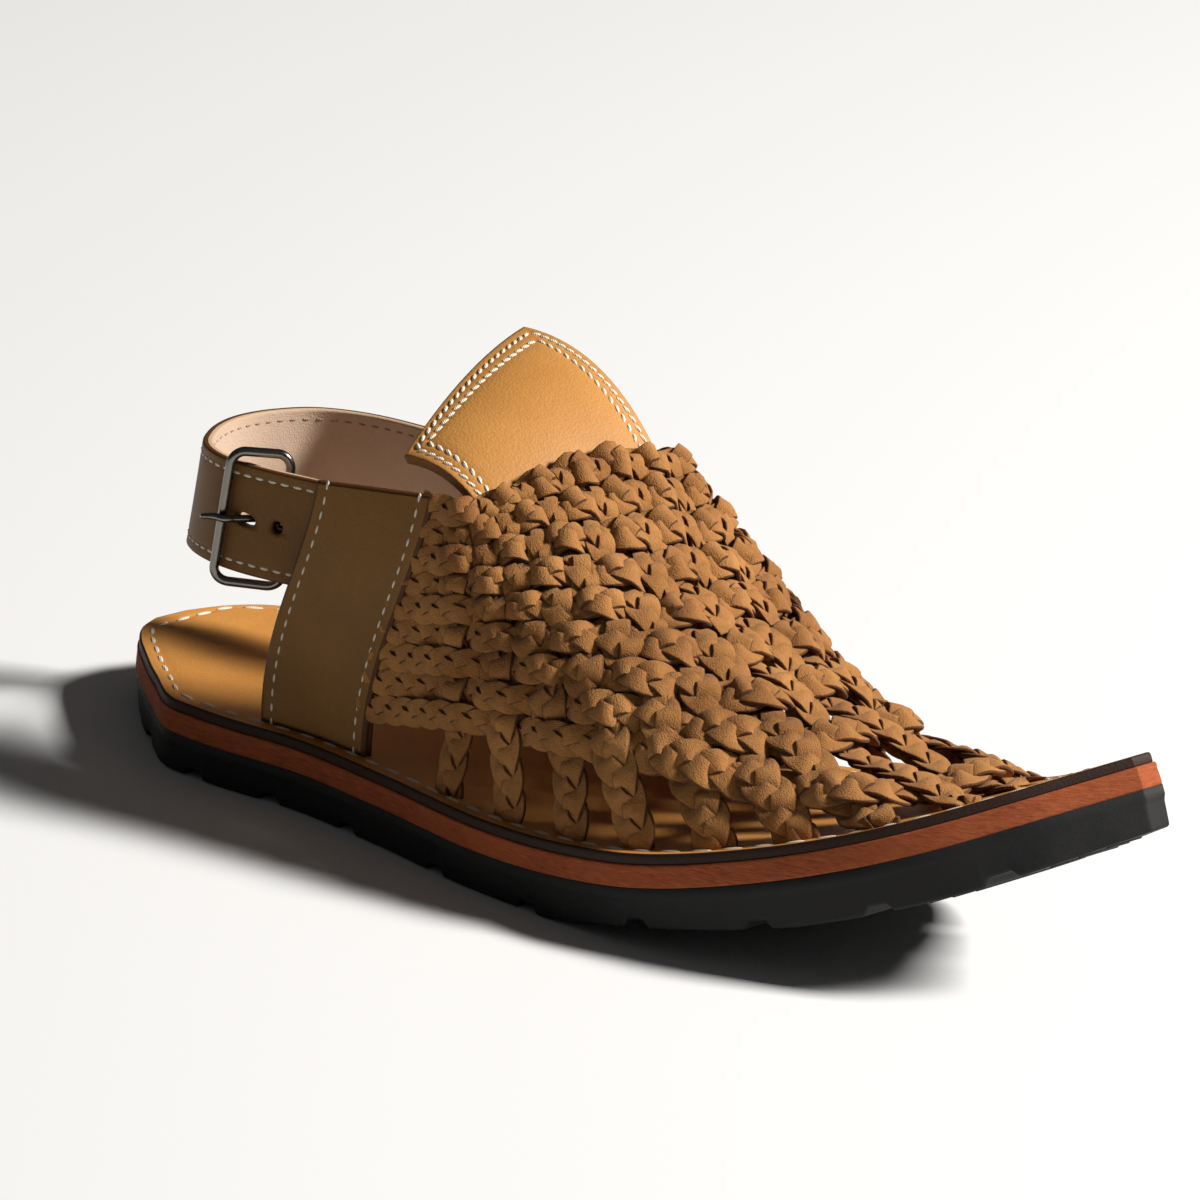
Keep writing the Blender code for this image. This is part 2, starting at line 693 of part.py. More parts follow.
def grid_normals(grid):
    """Outward directions of a grid of points."""
    along = np.gradient(grid, axis=0)
    across = np.gradient(grid, axis=1)
    n = np.cross(across, along)
    n /= np.linalg.norm(n, axis=-1)[..., None]
    return n


plate_inner = plate_outer - PLATE_THICKNESS * grid_normals(plate_outer)
make_wall("instep_plate", plate_outer, plate_inner, "plate_leather")


# Side panels, standing on the insole behind the weave
def make_panel(name, u, drop, material, side):
    """A side panel that carries on the weave's end profile backward."""
    v = np.linspace(0, 1, PANEL_LEVELS)
    front = weave_surface(np.full_like(v, u), v)
    outward_end = weave_normal(np.full_like(v, u), v)
    outward_end[:, 0] = 0
    outward_end /= np.linalg.norm(outward_end, axis=1)[:, None]
    front = front + PANEL_STAND_OFF * outward_end
    rows = []
    for share in np.linspace(0, 1, PANEL_ROWS):
        back = share * (PANEL_FOOT_WIDTH + (PANEL_TOP_WIDTH - PANEL_FOOT_WIDTH) * v) + PANEL_GAP
        line = front.copy()
        line[:, 0] -= back
        foot_s = line[0, 0]
        edge = lateral_edge(foot_s) + FOOT_INSET if side < 0 else medial_edge(foot_s) - FOOT_INSET
        edge += side * PANEL_STAND_OFF
        fade = (1 - v) ** PANEL_FLARE_POWER
        line[:, 1] += (edge - line[0, 1]) * fade
        line[:, 2] -= drop * share * v
        line[:, 2] += FOOT_GAP * (1 - v)
        rows.append(line)
    outer = np.stack(rows)
    normals = grid_normals(outer)
    if (normals[..., 1] * side).mean() < 0:
        normals = -normals
    normals[..., 0] = 0
    normals /= np.linalg.norm(normals, axis=-1)[..., None]
    normals[:, 0] = (0, side, 0)
    return make_wall(name, outer, outer - PANEL_THICKNESS * normals, material)


make_panel("lateral_panel", 0.0, LATERAL_PANEL_DROP, "panel_leather", -1)
make_panel("medial_panel", 1.0, MEDIAL_PANEL_DROP, "panel_leather", 1)


# Heel strap with its two holes
strap_line, strap_run = through(STRAP_PATH, np.linspace(0, 1, 801))
strap_shares = np.linspace(0, 1, 801)
lateral_half = strap_line[:, 1] < 0


def strap_share(x):
    """Share along the strap, on the lateral side, at the given x."""
    return np.interp(-x, -strap_line[lateral_half][:, 0], strap_shares[lateral_half])


hole_stations = []
for x, half in zip(STRAP_HOLES, (PRONG_HOLE_HALF, STRAP_HOLE_RADIUS)):
    hole_stations.append([strap_share(x + half), strap_share(x), strap_share(x - half)])
plain = [
    s
    for s in np.linspace(0, 1, STRAP_SECTIONS)
    if all(not h[0] - STRAP_SECTION_CLEARANCE <= s <= h[2] + STRAP_SECTION_CLEARANCE for h in hole_stations)
]
stations = np.array(sorted(plain + [s for h in hole_stations for s in h]))
half_levels = (STRAP_HOLE_RADIUS, STRAP_FLAT_HALF, STRAP_HEIGHT / 2)
levels = np.array([-h for h in reversed(half_levels)] + [0.0] + list(half_levels))
centre = through(STRAP_PATH, stations)[0]
tangent = through(STRAP_PATH, np.clip(stations + 0.002, 0, 1))[0] - through(
    STRAP_PATH, np.clip(stations - 0.002, 0, 1)
)[0]
tangent /= np.linalg.norm(tangent, axis=1)[:, None]
side_way = np.stack([tangent[:, 1], -tangent[:, 0]], 1)
if side_way[0, 1] > 0:
    side_way = -side_way
strap_grid = np.zeros((len(stations), len(levels), 3))
settled = np.clip((stations - STRAP_SETTLE_START) / STRAP_SETTLE_RUN, 0, 1)
settled = settled * settled * (3 - 2 * settled)
for j, height in enumerate(levels):
    lean = -STRAP_LEAN * height / (STRAP_HEIGHT / 2) * settled
    strap_grid[:, j, :2] = centre + side_way * lean[:, None]
    strap_grid[:, j, 2] = STRAP_MIDDLE + height - STRAP_REAR_DROP * settled
strap_openings = []
offset = np.zeros((len(stations), len(levels), 3))
for low, mid, high in hole_stations:
    i = int(np.argmin(np.abs(stations - mid)))
    strap_openings += [(i - 1, 2), (i - 1, 3), (i, 2), (i, 3)]
    for di in (-1, 1):
        for dj in (2, 4):
            way = strap_grid[i, 3] - strap_grid[i + di, 3]
            pull = 1 - math.sqrt(0.5)
            offset[i + di, dj] = way * pull
            offset[i + di, dj, 2] = (strap_grid[i, 3, 2] - strap_grid[i, dj, 2]) * pull
strap_grid += offset
half_way = np.zeros_like(strap_grid)
half_way[..., :2] = side_way[:, None, :] * STRAP_THICKNESS / 2
make_wall("heel_strap", strap_grid + half_way, strap_grid - half_way, "strap_leather", strap_openings)


# Buckle frame, prong and tab
def strap_at(x):
    """Middle of the strap and its outward direction at the given x on the lateral side."""
    share = strap_share(x)
    point = through(STRAP_PATH, [share])[0][0]
    k = int(np.argmin(np.abs(stations - share)))
    return point, side_way[k]


left_mid, left_out = strap_at(LEFT_BAR_X)
left_along = np.array([abs(left_out[1]), -left_out[0] * np.sign(left_out[1])])
hinge_mid, hinge_out = strap_at(HINGE_X)
left_bar = left_mid + left_out * (STRAP_THICKNESS / 2 + BAR_CLEARANCE + WIRE_RADIUS)
tab_wrap = WIRE_RADIUS + TAB_CLEARANCE + TAB_THICKNESS
hinge_bar = hinge_mid - hinge_out * (STRAP_THICKNESS / 2 + BAR_CLEARANCE + tab_wrap)


def frame_path():
    """Rounded rectangle in the plane through both bars."""
    across = hinge_bar - left_bar
    length = float(np.linalg.norm(across))
    unit = across / length
    half = BUCKLE_HEIGHT / 2
    corners = (
        (BUCKLE_CORNER, half - BUCKLE_CORNER, math.pi, math.pi / 2),
        (length - BUCKLE_CORNER, half - BUCKLE_CORNER, math.pi / 2, 0.0),
        (length - BUCKLE_CORNER, BUCKLE_CORNER - half, 0.0, -math.pi / 2),
        (BUCKLE_CORNER, BUCKLE_CORNER - half, -math.pi / 2, -math.pi),
    )
    path = []
    for along, height, start, end in corners:
        for turn in np.linspace(start, end, BUCKLE_CORNER_STEPS):
            a = along + BUCKLE_CORNER * math.cos(turn)
            h = height + BUCKLE_CORNER * math.sin(turn)
            skew = h * math.tan(math.radians(BUCKLE_SKEW_DEGREES)) * (1 - a / length)
            path.append((*(left_bar + unit * a + left_along * skew), STRAP_MIDDLE + h))
    return path


make_wire("buckle_frame", frame_path(), WIRE_RADIUS, "buckle_metal", True)

ring = WIRE_RADIUS + BAR_CLEARANCE + PRONG_RADIUS
rest = left_bar + left_out * (WIRE_RADIUS + PRONG_RADIUS + PRONG_CLEARANCE)
tip_mid, tip_out = strap_at(PRONG_TIP_X)
tip_way = rest - tip_mid - tip_out * (1 + PRONG_TIP_OUT)
tip_way /= np.linalg.norm(tip_way)
toward = rest - hinge_bar
toward /= np.linalg.norm(toward)
aside = np.array([-toward[1], toward[0]])
if aside @ left_out < 0:
    aside = -aside
prong_path = []
eye = math.radians(PRONG_EYE_DEGREES)
for turn in np.linspace(-eye, eye, PRONG_EYE_STEPS):
    at = hinge_bar - toward * ring * math.cos(turn) + aside * ring * math.sin(turn)
    prong_path.append((*at, STRAP_MIDDLE))
for x, off in PRONG_RISE:
    mid, out = strap_at(x)
    prong_path.append((*(mid + out * off), STRAP_MIDDLE))
prong_path.append((*rest, STRAP_MIDDLE))
prong_path.append((*(rest + tip_way * PRONG_OVERHANG), STRAP_MIDDLE))
make_wire("buckle_prong", prong_path, PRONG_RADIUS, "prong_metal", False)

tab_inner = WIRE_RADIUS + TAB_CLEARANCE
outer_line, inner_line = [], []
for turn in np.linspace(math.radians(TAB_TURN_START_DEGREES), math.pi, TAB_TURNS):
    way = hinge_out * math.cos(turn) - np.array([1.0, 0.0]) * math.sin(turn)
    way /= np.linalg.norm(way)
    outer_line.append(hinge_bar + way * (tab_inner + TAB_THICKNESS))
    inner_line.append(hinge_bar + way * tab_inner)
tail_y = (hinge_bar - hinge_out * (tab_wrap - TAB_THICKNESS / 2))[1]
for x in np.linspace(HINGE_X + TAB_TAIL_LEAD, TAB_FRONT, 5):
    strap_y = strap_at(min(x, TAB_FOLLOW_END))[0][1]
    near_strap = strap_y + STRAP_THICKNESS / 2 + TAB_CLEARANCE + TAB_THICKNESS / 2
    blend = min((x - HINGE_X) / TAB_TAIL_BLEND, 1.0)
    y = tail_y * (1 - blend) + near_strap * blend
    outer_line.append(np.array([x, y + TAB_THICKNESS / 2]))
    inner_line.append(np.array([x, y - TAB_THICKNESS / 2]))
tab_levels = STRAP_MIDDLE + np.array([-TAB_HEIGHT / 2, -TAB_SLOT / 2, TAB_SLOT / 2, TAB_HEIGHT / 2])
outer_grid = np.array([[(*p, z) for z in tab_levels] for p in outer_line])
inner_grid = np.array([[(*p, z) for z in tab_levels] for p in inner_line])
slot = [(i, 1) for i in range(TAB_TURNS)]
make_wall("buckle_tab", outer_grid, inner_grid, "tab_leather", slot)

print("openings in the weave:", len(openings))
print("foot line length mm:", round(FOOT_LENGTH, 1))
for solid in bpy.data.objects:
    print(solid.name, len(solid.data.polygons))
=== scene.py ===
# %% [markdown]
# A woven leather sandal, dressed around its CAD frame.
# The frame gives every size and place. Each cell below takes one real piece of the sandal,
# says what it is on the real shoe, and makes it where the frame says it is.

# %% Load the frame
import math

import bmesh
import bpy
import numpy as np
from mathutils import Matrix


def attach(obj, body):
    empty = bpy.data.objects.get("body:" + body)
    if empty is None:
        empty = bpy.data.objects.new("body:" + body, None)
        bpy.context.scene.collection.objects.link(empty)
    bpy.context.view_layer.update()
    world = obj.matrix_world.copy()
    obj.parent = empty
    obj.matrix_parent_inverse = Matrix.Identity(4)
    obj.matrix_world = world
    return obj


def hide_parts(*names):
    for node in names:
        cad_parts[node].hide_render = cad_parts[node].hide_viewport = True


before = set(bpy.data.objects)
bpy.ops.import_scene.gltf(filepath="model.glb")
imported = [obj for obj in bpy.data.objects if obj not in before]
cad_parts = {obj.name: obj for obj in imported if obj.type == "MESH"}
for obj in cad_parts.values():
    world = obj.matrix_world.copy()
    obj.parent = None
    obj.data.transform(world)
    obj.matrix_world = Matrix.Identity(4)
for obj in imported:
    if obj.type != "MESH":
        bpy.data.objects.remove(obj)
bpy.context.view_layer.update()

# %% [markdown]
# The camera stands where the photographer stood: in front of the outer side of a right shoe, a
# little above it, with a very long lens, which is why the sole hardly narrows toward the toe.
# The background is a pale floor that runs out of the picture.

# %% Camera
MM = 0.001
CAMERA_DEGREES = (38.0, 17.22, 5.25)  # azimuth, elevation and roll
CAMERA_DISTANCE, CAMERA_LENS = 2.226, 287.2
CAMERA_SHIFT, CAMERA_CLIP = (-0.0151, 0.1064), (0.05, 50.0)
CAMERA_TARGET = np.array([0.00193, 0.00072, 0.030])


def camera_axes(azimuth, elevation, roll):
    """Right, up and backward directions of a camera that looks at the shoe."""
    a, e, r = (math.radians(x) for x in (azimuth, elevation, roll))
    back = np.array([math.sin(a) * math.cos(e), -math.cos(a) * math.cos(e), math.sin(e)])
    level = np.array([math.cos(a), math.sin(a), 0.0])
    rise = np.cross(back, level)
    return math.cos(r) * level + math.sin(r) * rise, math.cos(r) * rise - math.sin(r) * level, back


def stand(item, right, up, back, spot):
    """Places a camera or a lamp, which looks against its backward direction."""
    bpy.context.scene.collection.objects.link(item)
    turn = np.eye(4)
    turn[:3, 0], turn[:3, 1], turn[:3, 2], turn[:3, 3] = right, up, back, spot
    item.matrix_world = Matrix(turn.tolist())


camera = bpy.data.objects.new("camera", bpy.data.cameras.new("camera"))
right, up, back = camera_axes(*CAMERA_DEGREES)
camera_spot = CAMERA_TARGET + back * CAMERA_DISTANCE
stand(camera, right, up, back, camera_spot)
camera.data.lens = CAMERA_LENS
camera.data.shift_x, camera.data.shift_y = CAMERA_SHIFT
camera.data.clip_start, camera.data.clip_end = CAMERA_CLIP
bpy.context.scene.camera = camera
print("camera at, m:", camera_spot.round(3).tolist())

# %% [markdown]
# Nodes are placed by a few small helpers, so that a tree reads as a list of steps. A socket that
# is given another node's output is linked, and one that is given a number is set.

# %% Helpers for node trees
def add(tree, kind, feeds=None, **settings):
    """Places one node, sets its options, and sets or links its inputs."""
    made = tree.nodes.new(kind)
    for key, value in settings.items():
        setattr(made, key, value)
    for key, value in (feeds or {}).items():
        if isinstance(value, bpy.types.NodeSocket):
            tree.links.new(value, made.inputs[key])
        else:
            made.inputs[key].default_value = value
    return made


def number(tree, operation, *values):
    return add(tree, "ShaderNodeMath", dict(enumerate(values)), operation=operation).outputs[0]


def times(tree, first, *others):
    """Multiplies numbers, each a value or another node's output."""
    for value in others:
        first = number(tree, "MULTIPLY", first, value)
    return first


def arrow(tree, operation, *values):
    return add(tree, "ShaderNodeVectorMath", dict(enumerate(values)), operation=operation).outputs[0]


def scaled(tree, way, size):
    return add(tree, "ShaderNodeVectorMath", {0: way, "Scale": size}, operation="SCALE").outputs[0]


def named(tree, name, kind="FLOAT"):
    return add(tree, "GeometryNodeInputNamedAttribute", {"Name": name}, data_type=kind).outputs[0]


def store(tree, geometry, name, value):
    feeds = {"Geometry": geometry, "Name": name, "Value": value}
    return add(tree, "GeometryNodeStoreNamedAttribute", feeds, data_type="FLOAT", domain="POINT").outputs[0]


def noise(tree, where, size, detail, roughness=0.5):
    feeds = {"Vector": where, "Scale": size, "Detail": detail, "Roughness": roughness}
    return add(tree, "ShaderNodeTexNoise", feeds).outputs[0]


def spread(tree, value, low=0.0, high=1.0, first=0.0, last=1.0):
    """Maps the range from low to high onto the range from first to last."""
    feeds = {"Value": value, "From Min": low, "From Max": high, "To Min": first, "To Max": last}
    return add(tree, "ShaderNodeMapRange", feeds).outputs[0]


def on_piece(tree):
    """The place on the piece, in its own coordinates."""
    return add(tree, "ShaderNodeTexCoord").outputs["Object"]


SOCKETS = {"float": "NodeSocketFloat", "shape": "NodeSocketGeometry", "material": "NodeSocketMaterial"}


def new_tree(name, kind, inputs, outputs):
    """A node group with named inputs and outputs. inputs holds name, kind and start value."""
    tree = bpy.data.node_groups.new(name, kind)
    for label, what, start in inputs:
        socket = tree.interface.new_socket(label, in_out="INPUT", socket_type=SOCKETS[what])
        if start is not None:
            socket.default_value = start
    for label, what in outputs:
        tree.interface.new_socket(label, in_out="OUTPUT", socket_type=SOCKETS[what])
    given = list(tree.nodes.new("NodeGroupInput").outputs)[: len(inputs)]
    return tree, given, tree.nodes.new("NodeGroupOutput").inputs


def lines_tree(name, sizes, result):
    """A geometry group that takes lines, named sizes in metres and a material."""
    inputs = [("Lines", "shape", None), *((label, "float", size) for label, size in sizes.items())]
    return new_tree(name, "GeometryNodeTree", [*inputs, ("Material", "material", None)], [(result, "shape")])


def close_tree(tree, geometry, material, out):
    """Ends a geometry group with real meshes, smooth shading and the material."""
    whole = add(tree, "GeometryNodeRealizeInstances", {0: geometry}).outputs[0]
    whole = add(tree, "GeometryNodeSetShadeSmooth", {0: whole}).outputs[0]
    whole = add(tree, "GeometryNodeSetMaterial", {"Geometry": whole, "Material": material}).outputs[0]
    tree.links.new(whole, out[0])
    return tree

# %% [markdown]
# Leather is never one flat colour. Three effects come back in nearly every hide here: a grain of
# small pebbles with pores between them, clouds of lighter and darker colour, and a border rubbed
# to another tone. On the braids' strips the border tone is painted shade along their sides, where
# one strip lies against the next. Each is a shader node group, built once, that a leather uses
# with its own sizes.
# They read the Object coordinates, so the pattern stays on the piece.

# %% Shared finishes: grain, clouds, and rubbed borders that also paint shade on the braids
def grain(tree, where, given):
    """Height of a pebbled hide with fine pores."""
    pebbles = add(tree, "ShaderNodeTexVoronoi", {"Vector": where, "Scale": given[0], "Randomness": 1.0})
    pores = times(tree, noise(tree, where, given[1], 3.0, 0.6), given[2])
    return number(tree, "ADD", pebbles.outputs["Distance"], pores)


def clouds(tree, where, given):
    """A mask of soft patches, with fine mottling over them."""
    mottles = times(tree, number(tree, "SUBTRACT", noise(tree, where, given[1], 3.0, 0.65), 0.5), given[2])
    return spread(tree, number(tree, "ADD", noise(tree, where, given[0], 4.0, 0.55), mottles), 0.3, 0.7)


def edge_wear_and_strip_shade(tree, where, given):
    """A mask that is full where a piece's rim attribute is, broken up so that it looks worn by hand.
    On the cut pieces this is worn edge colour; on the braids' strips it is painted shade along their sides.
    """
    rim = add(tree, "ShaderNodeAttribute", attribute_name="rim").outputs["Fac"]
    breaks = times(tree, number(tree, "SUBTRACT", noise(tree, where, given[0], 3.0), 0.5), 0.7)
    steep = times(tree, number(tree, "SUBTRACT", number(tree, "ADD", rim, breaks), 0.45), given[1])
    return number(tree, "MINIMUM", number(tree, "MAXIMUM", steep, 0.0), 1.0)


def shared_finish(name, work, result, sizes):
    """A shader group with named sizes, whose one result work finds from the place on the piece."""
    inputs = [(label, "float", size) for label, size in sizes.items()]
    tree, given, out = new_tree(name, "ShaderNodeTree", inputs, [(result, "float")])
    tree.links.new(work(tree, on_piece(tree), given), out[0])
    return tree


GRAIN = shared_finish("hide_grain", grain, "Height",
                      {"Pebbles per metre": 900.0, "Pores per metre": 3000.0, "Pore depth": 0.3})
CLOUDS = shared_finish("hide_clouds", clouds, "Mask",
                       {"Clouds per metre": 30.0, "Mottles per metre": 400.0, "Mottling": 0.35})
# On the cut pieces this is a rubbed edge; on the braids it paints shade along each strip's sides.
EDGE_WEAR_AND_STRIP_SHADE = shared_finish("worn_border_and_strip_shade", edge_wear_and_strip_shade, "Mask", {"Breaks per metre": 300.0, "Sharpness": 3.0})
print("shared finishes:", GRAIN.name, CLOUDS.name, EDGE_WEAR_AND_STRIP_SHADE.name)

# %% [markdown]
# A hide material mixes a light and a dark tone by the clouds, paints its border, and takes its
# relief from the grain. Suede has a nap, so it gets sheen and almost no gloss; smooth leather has
# a soft gloss. These constants sit on the shader itself, where the export can read them.

# %% Materials for leather
def place_group(tree, group, **sizes):
    """Places a shared finish with its own sizes, written with underscores for spaces."""
    made = add(tree, "ShaderNodeGroup", node_tree=group)
    for key, value in sizes.items():
        made.inputs[key.replace("_", " ")].default_value = value
    return made.outputs[0]


def blank_material(name, **constants):
    """A material whose shader holds the given constants, written with underscores for spaces."""
    material = bpy.data.materials.new(name)
    material.use_nodes = True
    shader = material.node_tree.nodes["Principled BSDF"]
    for key, value in constants.items():
        shader.inputs[key.replace("_", " ")].default_value = value
    return material, material.node_tree, shader


def mixed(tree, share, first, second):
    """Mixes two colours, each a colour or another node's output."""
    feeds = {k: (*v, 1.0) if isinstance(v, tuple) else v for k, v in ((0, share), (6, first), (7, second))}
    return add(tree, "ShaderNodeMix", feeds, data_type="RGBA").outputs[2]


def dress(tree, shader, colour, height=None, strength=0.0, distance=0.0, rough=None):
    """Links a material's colour and, if it has them, its relief and its varying roughness."""
    tree.links.new(colour, shader.inputs["Base Color"])
    if height is not None:
        bump = add(tree, "ShaderNodeBump", {"Height": height, "Strength": strength, "Distance": distance})
        tree.links.new(bump.outputs[0], shader.inputs["Normal"])
    if rough is not None:
        tree.links.new(rough, shader.inputs["Roughness"])


def hide(name, light, dark, border, roughness, pebbles, pores, relief, clouds=28.0, sheen=0.0, coat=0.0):
    """A leather: two tones in clouds, a border tone, grain relief."""
    material, tree, shader = blank_material(
        name, Roughness=roughness, Sheen_Weight=sheen, Sheen_Roughness=0.5, Coat_Weight=coat,
        Coat_Roughness=0.35, Specular_IOR_Level=0.22)
    patches = place_group(tree, CLOUDS, Clouds_per_metre=clouds, Mottles_per_metre=pores / 6)
    body = mixed(tree, patches, dark, light)
    height = place_group(tree, GRAIN, Pebbles_per_metre=pebbles, Pores_per_metre=pores)
    dress(tree, shader, mixed(tree, place_group(tree, EDGE_WEAR_AND_STRIP_SHADE), body, border), height, relief, 0.0004)
    return material


# The suede's near-black border tone is painted shade: it darkens each strip's cut sides, where the strips lie
# against one another.
SUEDE = hide("braid_suede", (0.40, 0.18, 0.052), (0.22, 0.088, 0.022), (0.10, 0.038, 0.011),
             0.9, 2600.0, 5200.0, 0.5, clouds=45.0, sheen=0.06)
PLATE_HIDE = hide("plate_hide", (0.53, 0.245, 0.062), (0.43, 0.19, 0.045), (0.24, 0.12, 0.04),
                  0.56, 1500.0, 5000.0, 0.22, coat=0.05)
# Painted shade: the panels' leather is the plate's tan made far darker, to stand for the shade on the sides.
PANEL_SHADED_HIDE = hide("panel_painted_shade_hide", (0.23, 0.105, 0.02), (0.17, 0.075, 0.014), (0.09, 0.034, 0.008),
                  0.52, 1700.0, 5200.0, 0.16)
# Painted shade: the strap's and the tab's leather is darkened the same way.
STRAP_SHADED_HIDE = hide("strap_painted_shade_hide", (0.21, 0.095, 0.02), (0.15, 0.066, 0.014), (0.09, 0.034, 0.009),
                  0.54, 1700.0, 5200.0, 0.18)
LINING_HIDE = hide("lining_hide", (0.66, 0.50, 0.38), (0.56, 0.40, 0.29), (0.50, 0.34, 0.22),
                   0.72, 2200.0, 6000.0, 0.2)
INSOLE_HIDE = hide("insole_hide", (0.64, 0.285, 0.068), (0.52, 0.222, 0.05), (0.05, 0.02, 0.009),
                   0.5, 1300.0, 5000.0, 0.16, coat=0.1)
RAW_CUT = hide("raw_cut", (0.34, 0.17, 0.065), (0.22, 0.105, 0.04), (0.24, 0.115, 0.045),
               0.85, 2600.0, 5200.0, 0.6)
EDGE_PAINT = hide("edge_paint", (0.038, 0.016, 0.008), (0.022, 0.010, 0.006), (0.028, 0.012, 0.007),
                  0.6, 1800.0, 5000.0, 0.2)
print("hides:", [m.name for m in bpy.data.materials if m.name.endswith(("hide", "suede"))])

# %% [markdown]
# The other finishes are the fibre board of the midsole, the black rubber of the outsole, waxed
# thread and the polished metal of the buckle.

# %% Materials for the sole, the thread and the buckle
def fibre_material():
    """Rust-coloured board with fibres drawn along the band."""
    material, tree, shader = blank_material("midsole_board", Roughness=0.82, Specular_IOR_Level=0.2)
    drawn = add(tree, "ShaderNodeMapping", {"Vector": on_piece(tree), "Scale": (0.35, 0.35, 2.2)}).outputs[0]
    fibres = noise(tree, drawn, 900.0, 6.0, 0.7)
    patches = place_group(tree, CLOUDS, Clouds_per_metre=60.0, Mottles_per_metre=900.0)
    body = mixed(tree, patches, (0.19, 0.036, 0.011), (0.31, 0.066, 0.019))
    dress(tree, shader, mixed(tree, spread(tree, fibres, 0.35, 0.7), body, (0.37, 0.10, 0.034)),
          fibres, 0.5, 0.0005)
    return material


def rubber_material():
    """Black rubber with a fine moulded tooth, greyer where dust has settled."""
    material, tree, shader = blank_material("outsole_rubber_look", Roughness=0.62, Specular_IOR_Level=0.25)
    tooth = noise(tree, on_piece(tree), 2600.0, 4.0, 0.7)
    patches = place_group(tree, CLOUDS, Clouds_per_metre=40.0, Mottles_per_metre=700.0)
    dress(tree, shader, mixed(tree, patches, (0.006, 0.006, 0.0065), (0.014, 0.0135, 0.013)),
          tooth, 0.35, 0.0003, spread(tree, patches, first=0.5, last=0.72))
    return material


def thread_material(name, light, dark):
    """Waxed thread with a fine twist, whose grooves are painted darker as shade."""
    material, tree, shader = blank_material(name, Roughness=0.6, Sheen_Weight=0.2)
    twist = add(tree, "ShaderNodeTexWave", {"Vector": on_piece(tree), "Scale": 900.0, "Distortion": 1.5},
                bands_direction="DIAGONAL").outputs["Fac"]
    # The twist's low grooves take the dark tone: painted shade in the grooves.
    dress(tree, shader, mixed(tree, twist, dark, light), twist, 0.4, 0.0002)
    return material


def metal_material(name, light, dark):
    """Polished dark nickel with faint handling marks."""
    material, tree, shader = blank_material(name, Roughness=0.22, Metallic=1.0)
    marks = noise(tree, on_piece(tree), 700.0, 5.0, 0.7)
    dress(tree, shader, mixed(tree, marks, dark, light), rough=spread(tree, marks, first=0.14, last=0.34))
    return material


BOARD, RUBBER = fibre_material(), rubber_material()
WHITE_THREAD = thread_material("white_thread", (0.80, 0.74, 0.62), (0.62, 0.55, 0.43))
BROWN_THREAD = thread_material("brown_thread", (0.42, 0.24, 0.15), (0.28, 0.14, 0.08))
NICKEL = metal_material("buckle_nickel", (0.26, 0.245, 0.22), (0.13, 0.12, 0.11))
print("hard finishes:", BOARD.name, RUBBER.name, WHITE_THREAD.name, BROWN_THREAD.name, NICKEL.name)

# %% [markdown]
# Geometry Nodes and mesh code both leave an object behind. What a tree makes is turned into a
# plain mesh here, its source is removed, the piece is told which body it rides on, and the CAD
# nodes that it stands for are hidden.

# %% Helpers for pieces
SOLE_ORIGIN = np.array([148.0718, -0.7224, 0.0])


def to_metres(points):
    return (np.asarray(points, float) - SOLE_ORIGIN) * MM


def unit(way):
    return way / np.linalg.norm(way, axis=-1)[..., None]


def run_along(points):
    """Distance from the first point to each point of a line."""
    return np.concatenate([[0], np.cumsum(np.linalg.norm(np.diff(points, axis=0), axis=1))])


def keep(piece, finish, *nodes):
    """Hands a finished piece to the frame."""
    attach(piece, "root")
    if nodes:
        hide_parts(*nodes)
    piece.data.calc_loop_triangles()
    print(f"{piece.name}: {len(piece.data.loop_triangles)} triangles")


def new_object(name, mesh):
    made = bpy.data.objects.new(name, mesh)
    bpy.context.scene.collection.objects.link(made)
    return made


def settle(source, tree, name, values):
    """Runs a geometry tree on an object with the given named inputs and keeps the result as a plain mesh."""
    modifier = source.modifiers.new(tree.name, "NODES")
    modifier.node_group = tree
    for item in tree.interface.items_tree:
        if item.item_type == "SOCKET" and item.in_out == "INPUT" and item.name in values:
            modifier[item.identifier] = values[item.name]
    source.update_tag()
    bpy.context.view_layer.update()
    graph = bpy.context.evaluated_depsgraph_get()
    mesh = bpy.data.meshes.new_from_object(source.evaluated_get(graph))
    bpy.data.objects.remove(source)
    return new_object(name, mesh)


def lines_object(lines):
    """Polylines for a tree to follow, with an outward direction at each point and two further numbers.
    Each line is a dict with points and up in millimetres, and full and phase if it has them."""
    points, edges, layers = [], [], {"up_way": [], "side_way": [], "full": [], "phase": []}
    for line in lines:
        p = np.asarray(line["points"], float)
        edges += [(len(points) + i, len(points) + i + 1) for i in range(len(p) - 1)]
        points += list(to_metres(p))
        ahead = unit(np.gradient(p, axis=0))
        rise = np.broadcast_to(np.asarray(line["up"], float), p.shape)
        rise = unit(rise - ahead * (rise * ahead).sum(1)[:, None])
        layers["up_way"] += list(rise)
        layers["side_way"] += list(np.cross(ahead, rise))
        layers["full"] += list(np.broadcast_to(line.get("full", 1.0), len(p)))
        layers["phase"] += [line.get("phase", 0.0)] * len(p)
    mesh = bpy.data.meshes.new("lines")
    mesh.from_pydata([tuple(p) for p in points], edges, [])
    for name, values in layers.items():
        way = name.endswith("way")
        layer = mesh.attributes.new(name, "FLOAT_VECTOR" if way else "FLOAT", "POINT")
        layer.data.foreach_set("vector" if way else "value", np.array(values, np.float32).ravel())
    return new_object("lines", mesh)

# %% [markdown]
# The sole is drawn flat, as a cutter draws it, and then bent along its spine: flat under the heel
# and arch, rising toward the toe. The same tables that shaped the solid CAD layers give its outline,
# so the dressed layers lie exactly on the solid ones.

